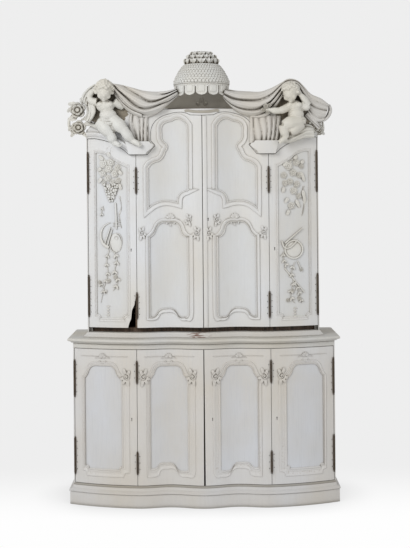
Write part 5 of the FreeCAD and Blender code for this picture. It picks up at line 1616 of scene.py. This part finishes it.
def bunch(left, right, top, foot, size, seed):
    """Grapes that hang in a bunch which narrows to its foot."""
    chance = random.Random(seed)
    forms = []
    rows = int((top - foot) / (size * 1.6))
    for row in range(rows):
        share = row / rows
        half = (right - left) / 2 * (1 - 0.75 * share ** 1.3)
        count = max(1, round(half * 2 / (size * 1.75)))
        for k in range(count):
            x = (left + right) / 2 + half * (2 * (k + 0.5) / count - 1)
            forms.append(egg_shape(flat(x + chance.uniform(-0.004, 0.004),
                                        top - share * (top - foot) + chance.uniform(-0.004, 0.004),
                                        0.004 + chance.uniform(0, 0.004)),
                                   size * chance.uniform(0.8, 1.1)))
    return forms


def ribbon(spots, width, swing, steps=30):
    """A narrow ribbon that twists as it falls."""
    line = smooth_line([flat(x, z, 0.003) for x, z in spots], steps)
    rings = []
    for i, spot in enumerate(line):
        along = (line[min(i + 1, steps)] - line[max(i - 1, 0)]).normalized()
        across = Vector((-along.z, 0, along.x))
        twist = 0.55 + 0.45 * math.cos(swing * i / steps)
        out = Vector((0, -0.003 * math.sin(swing * i / steps) - 0.001, 0))
        a, b = spot - across * width * twist + out, spot + across * width * twist - out
        rings.append([a, b, b + Vector((0, 0.004, 0)), a + Vector((0, 0.004, 0))])
    return run_out("ribbon", rings)


def open_flower(x, z, radius):
    return blossom(flat(x, z, 0.002), radius, 0.011, 5, x * 40, 30)


def petals_line(places):
    return [open_flower(x, z, size) for (x, z), size in places]


left = petals_line((((-0.613, 2.108), 0.026), ((-0.568, 2.113), 0.023), ((-0.525, 2.079), 0.020),
                    ((-0.582, 2.076), 0.024), ((-0.619, 2.049), 0.022), ((-0.544, 2.045), 0.022),
                    ((-0.588, 2.017), 0.021), ((-0.523, 2.001), 0.018), ((-0.557, 1.992), 0.018),
                    ((-0.614, 1.989), 0.016)))
for base, tip in (((-0.615, 2.129), (-0.643, 2.157)), ((-0.572, 2.148), (-0.590, 2.181)),
                  ((-0.628, 2.080), (-0.652, 2.061)), ((-0.517, 2.060), (-0.496, 2.035)),
                  ((-0.625, 2.018), (-0.648, 1.987)),
                  ((-0.517, 1.980), (-0.503, 1.942))):
    base, tip = flat(*base, 0.005), flat(*tip, 0.002)
    left.append(leaf("leaf", (base, base.lerp(tip, 0.5) + Vector((0, -0.004, 0)), tip), 0.011, (0, -1, 0),
                     0.004, 2, 0.3, 10))
x0, x1 = (-0.614, 1.968)[0], (-0.521, 1.967)[0]
left += bunch(x0, x1, (-0.573, 1.974)[1], (-0.574, 1.862)[1], 0.0086, 3)
left.append(egg_shape(flat(-0.569, 1.933, 0.0), (0.032, 0.006, 0.040)))
left += sprig(((-0.618, 1.844), (-0.628, 1.813), (-0.627, 1.776)), 0.0022, 0.008, 2)
lute_line = smooth_line((flat(-0.541, 1.862, 0.005), flat(-0.537, 1.787, 0.006),
                         flat(-0.536, 1.700, 0.007)), 12)
left.append(rod("neck", lute_line, [0.0052] * 13, 10, 0.7))
left.append(rod("pegs", (flat(-0.558, 1.734, 0.006), flat(-0.510, 1.746, 0.006)), (0.0022, 0.0022), 8))
left.append(rod("pegs", (flat(-0.559, 1.718, 0.006), flat(-0.509, 1.723, 0.006)), (0.0022, 0.0022), 8))
left.append(egg_shape(flat(-0.539, 1.614, 0.001), (0.037, 0.0115, 0.060), (0, -7, 0)))
left.append(rod("edge", [flat(-0.539, 1.614, 0.0035) + Vector((0.0365 * math.cos(a) + 0.007 * math.sin(a),
                                                               0, 0.059 * math.sin(a)))
                         for a in [2 * math.pi * i / 40 for i in range(41)]], [0.0024] * 41, 8))
left.append(rod("rose", [flat(-0.537, 1.645, 0.0115) + Vector((0.011 * math.cos(a), 0, 0.011 * math.sin(a)))
                         for a in [2 * math.pi * i / 24 for i in range(25)]], [0.0018] * 25, 6))
left.append(rod("horn", smooth_line((flat(-0.572, 1.740, 0.003), flat(-0.604, 1.726, 0.004),
                                     flat(-0.628, 1.695, 0.005),
                                     flat(-0.635, 1.652, 0.005), flat(-0.620, 1.608, 0.005),
                                     flat(-0.585, 1.585, 0.004)), 24),
                [0.003 + 0.0075 * (i / 24) ** 1.5 for i in range(25)], 10, 0.7))
left.append(rod("pipe", (flat(-0.614, 1.596, 0.006), flat(-0.573, 1.713, 0.006)), (0.0042, 0.0030), 8))
left.append(rod("pipe", (flat(-0.595, 1.589, 0.006), flat(-0.561, 1.701, 0.006)), (0.0042, 0.0030), 8))
left += sprig(((-0.555, 1.564), (-0.534, 1.508), (-0.549, 1.440), (-0.529, 1.371), (-0.560, 1.316)), 0.0030,
              0.0115, 5)
left += sprig(((-0.583, 1.570), (-0.600, 1.496), (-0.591, 1.428), (-0.612, 1.354), (-0.638, 1.242)), 0.0028,
              0.0095, 5)
left += sprig(((-0.651, 1.379), (-0.626, 1.335), (-0.598, 1.298)), 0.0024, 0.0085, 2)
left += petals_line((((-0.587, 1.378), 0.013), ((-0.545, 1.403), 0.014), ((-0.644, 1.369), 0.010)))
left.append(ribbon(((-0.568, 2.213), (-0.590, 2.197), (-0.578, 2.172), (-0.549, 2.185), (-0.561, 2.203),
                    (-0.569, 2.148)), 0.0045, 9.0))
left.append(ribbon(((-0.512, 1.905), (-0.504, 1.843), (-0.515, 1.781), (-0.504, 1.706)), 0.0040, 11.0))
for spot, size in (((-0.591, 1.220), 0.012), ((-0.591, 1.201), 0.0095), ((-0.591, 1.183), 0.0075),
                   ((-0.592, 1.165), 0.0105)):
    left.append(egg_shape(flat(*spot, 0.002), (size, 0.005, 0.0046)))

right = petals_line((((0.536, 2.082), 0.024), ((0.585, 2.103), 0.020), ((0.505, 2.026), 0.019),
                     ((0.513, 1.977), 0.018),
                     ((0.617, 2.081), 0.015), ((0.568, 1.929), 0.022), ((0.599, 1.895), 0.017),
                     ((0.551, 1.836), 0.021),
                     ((0.564, 2.041), 0.021), ((0.604, 2.026), 0.018), ((0.544, 1.985), 0.019),
                     ((0.587, 1.970), 0.019)))
for base, tip in (((0.533, 2.107), (0.499, 2.082)), ((0.570, 2.125), (0.592, 2.147)),
                  ((0.613, 2.100), (0.636, 2.118)),
                  ((0.613, 2.044), (0.637, 1.982)), ((0.506, 1.952), (0.497, 1.915)),
                  ((0.624, 1.932), (0.638, 1.852)),
                  ((0.531, 1.884), (0.509, 1.853)), ((0.580, 1.871), (0.605, 1.821)),
                  ((0.536, 1.809), (0.521, 1.776))):
    base, tip = flat(*base, 0.005), flat(*tip, 0.002)
    right.append(leaf("leaf", (base, base.lerp(tip, 0.5) + Vector((0, -0.004, 0)), tip), 0.011, (0, -1, 0),
                      0.004, 2, 0.3, 10))
right.append(rod("drum", [flat(0.565, 1.564, 0.004) + Vector((0.055 * math.cos(a), 0, 0.055 * math.sin(a)))
                          for a in [2 * math.pi * i / 44 for i in range(45)]], [0.0058] * 45, 10))
right.append(egg_shape(flat(0.565, 1.564, 0.000), (0.052, 0.0065, 0.052)))
right.append(rod("stick", (flat(0.510, 1.604, 0.008), flat(0.620, 1.697, 0.008)), (0.0055, 0.0030), 10))
right.append(rod("stick", smooth_line((flat(0.489, 1.619, 0.007), flat(0.507, 1.576, 0.009),
                                       flat(0.544, 1.579, 0.010),
                                       flat(0.588, 1.622, 0.009)), 16), [0.0050] * 17, 10))
right.append(rod("arrow", (flat(0.506, 1.449, 0.004), flat(0.629, 1.296, 0.005)), (0.0042, 0.0042), 8))
right.append(rod("arrow", (flat(0.587, 1.492, 0.006), flat(0.611, 1.436, 0.005)), (0.0034, 0.0034), 8))
right += sprig(((0.571, 1.486), (0.549, 1.424), (0.563, 1.356), (0.540, 1.288), (0.568, 1.231)), 0.0028,
               0.0110, 5)
right += sprig(((0.497, 1.549), (0.500, 1.499), (0.521, 1.462)), 0.0026, 0.0095, 3)
right += sprig(((0.557, 1.368), (0.591, 1.312), (0.612, 1.231)), 0.0026, 0.0095, 4)
right += petals_line((((0.611, 1.438), 0.011), ((0.525, 1.250), 0.011), ((0.597, 1.262), 0.013),
                      ((0.554, 1.306), 0.012)))
for spot, size in (((0.571, 1.200), 0.012), ((0.570, 1.182), 0.0095), ((0.570, 1.166), 0.0075),
                   ((0.570, 1.148), 0.0105)):
    right.append(egg_shape(flat(*spot, 0.002), (size, 0.005, 0.0046)))
right.append(ribbon(((0.545, 2.107), (0.568, 2.131), (0.552, 2.159), (0.530, 2.144), (0.551, 2.119),
                     (0.582, 2.131)), 0.0045, 9.0))
right.append(ribbon(((0.631, 1.957), (0.624, 1.895), (0.633, 1.833), (0.617, 1.771)), 0.0040, 10.0))
for word, forms in (("left", left), ("right", right)):
    trophy = joined(f"trophy_{word}_carving", forms)
    bend_back(trophy, FIELD_FACE)
    fix(trophy, trophy_paint, "carving", f"upper_{word}_side_door", f"trophy_{word}", angle=55.0)

# Floor and backdrop, soft daylight from the upper left, and the camera at the photograph's angle.
# The camera stands far off at eye height and looks level, with its picture shifted down.
EYE = 1.888
STAND_OFF = 7.0
VIEW_HEIGHT = 3.34
LENS_SENSOR = 36.0


PAPER = (238, 238, 238)
SEEN_PAPER = (238, 238, 238)
WHITE_PAPER = (254, 254, 254)

bpy.ops.object.select_all(action="DESELECT")
bpy.ops.mesh.primitive_grid_add(x_subdivisions=8, y_subdivisions=8, size=60, location=(0, 0, -0.0005))
floor = bpy.context.object
floor.name = "studio_floor"
paper = bpy.data.materials.new("studio_paper")
paper.use_nodes = True
nodes, links = paper.node_tree.nodes, paper.node_tree.links
nodes["Principled BSDF"].inputs["Base Color"].default_value = tone(*PAPER)
nodes["Principled BSDF"].inputs["Roughness"].default_value = 0.9
# Seen by the camera the floor glows rather than taking light: painted brighter white towards the front and
# grey behind, and dimmed by ambient occlusion round the cabinet as a painted shadow.
glow = nodes.new("ShaderNodeEmission")
place = nodes.new("ShaderNodeTexCoord")
parts = nodes.new("ShaderNodeSeparateXYZ")
fade = nodes.new("ShaderNodeMapRange")
fade.inputs["From Min"].default_value = -0.6
fade.inputs["From Max"].default_value = 0.9
fade.interpolation_type = "SMOOTHSTEP"
whites = nodes.new("ShaderNodeMix")
whites.data_type = "RGBA"
whites.inputs["A"].default_value = tone(*WHITE_PAPER)
whites.inputs["B"].default_value = tone(*SEEN_PAPER)
links.new(place.outputs["Object"], parts.inputs["Vector"])
links.new(parts.outputs["Y"], fade.inputs["Value"])
links.new(fade.outputs["Result"], whites.inputs["Factor"])
links.new(whites.outputs["Result"], glow.inputs["Color"])
path = nodes.new("ShaderNodeLightPath")
shade = nodes.new("ShaderNodeAmbientOcclusion")
shade.inputs["Distance"].default_value = 0.35
soft = nodes.new("ShaderNodeMapRange")
soft.inputs["From Min"].default_value = 0.25
soft.inputs["From Max"].default_value = 0.95
soft.inputs["To Min"].default_value = 0.72
links.new(shade.outputs["AO"], soft.inputs["Value"])
links.new(soft.outputs["Result"], glow.inputs["Strength"])
mix = nodes.new("ShaderNodeMixShader")
links.new(path.outputs["Is Camera Ray"], mix.inputs["Fac"])
links.new(nodes["Principled BSDF"].outputs["BSDF"], mix.inputs[1])
links.new(glow.outputs["Emission"], mix.inputs[2])
links.new(mix.outputs["Shader"], nodes["Material Output"].inputs["Surface"])
floor.data.materials.append(paper)
world = bpy.data.worlds.new("studio_air")
bpy.context.scene.world = world
world.use_nodes = True
nodes, links = world.node_tree.nodes, world.node_tree.links
air = nodes["Background"]
air.inputs["Color"].default_value = tone(240, 241, 243)
air.inputs["Strength"].default_value = 0.55
seen = nodes.new("ShaderNodeBackground")
seen.inputs["Color"].default_value = tone(*SEEN_PAPER)
path = nodes.new("ShaderNodeLightPath")
mix = nodes.new("ShaderNodeMixShader")
links.new(path.outputs["Is Camera Ray"], mix.inputs["Fac"])
links.new(air.outputs["Background"], mix.inputs[1])
links.new(seen.outputs["Background"], mix.inputs[2])
links.new(mix.outputs["Shader"], nodes["World Output"].inputs["Surface"])
for name, place, aim, size, power in (("key_light", (-3.6, -5.2, 4.6), (0, 0, 1.4), 2.6, 210.0),
                                      ("fill_light", (4.6, -5.0, 2.4), (0, 0, 1.2), 3.0, 60.0)):
    light = bpy.data.lights.new(name, "AREA")
    light.size = size
    light.energy = power
    lamp = bpy.data.objects.new(name, light)
    bpy.context.collection.objects.link(lamp)
    lamp.location = place
    lamp.rotation_euler = (Vector(aim) - Vector(place)).to_track_quat("-Z", "Y").to_euler()
view = bpy.data.cameras.new("front_camera")
view.sensor_fit = "VERTICAL"
view.sensor_height = LENS_SENSOR
view.lens = LENS_SENSOR * STAND_OFF / VIEW_HEIGHT
view.shift_y = -76 / 548
camera = bpy.data.objects.new("front_camera", view)
bpy.context.collection.objects.link(camera)
camera.location = (0.0155, LOWER_FACE - STAND_OFF, EYE)
camera.rotation_euler = (math.radians(90), math.radians(0.5), 0)
bpy.context.scene.camera = camera
bpy.context.scene.view_settings.view_transform = "Standard"
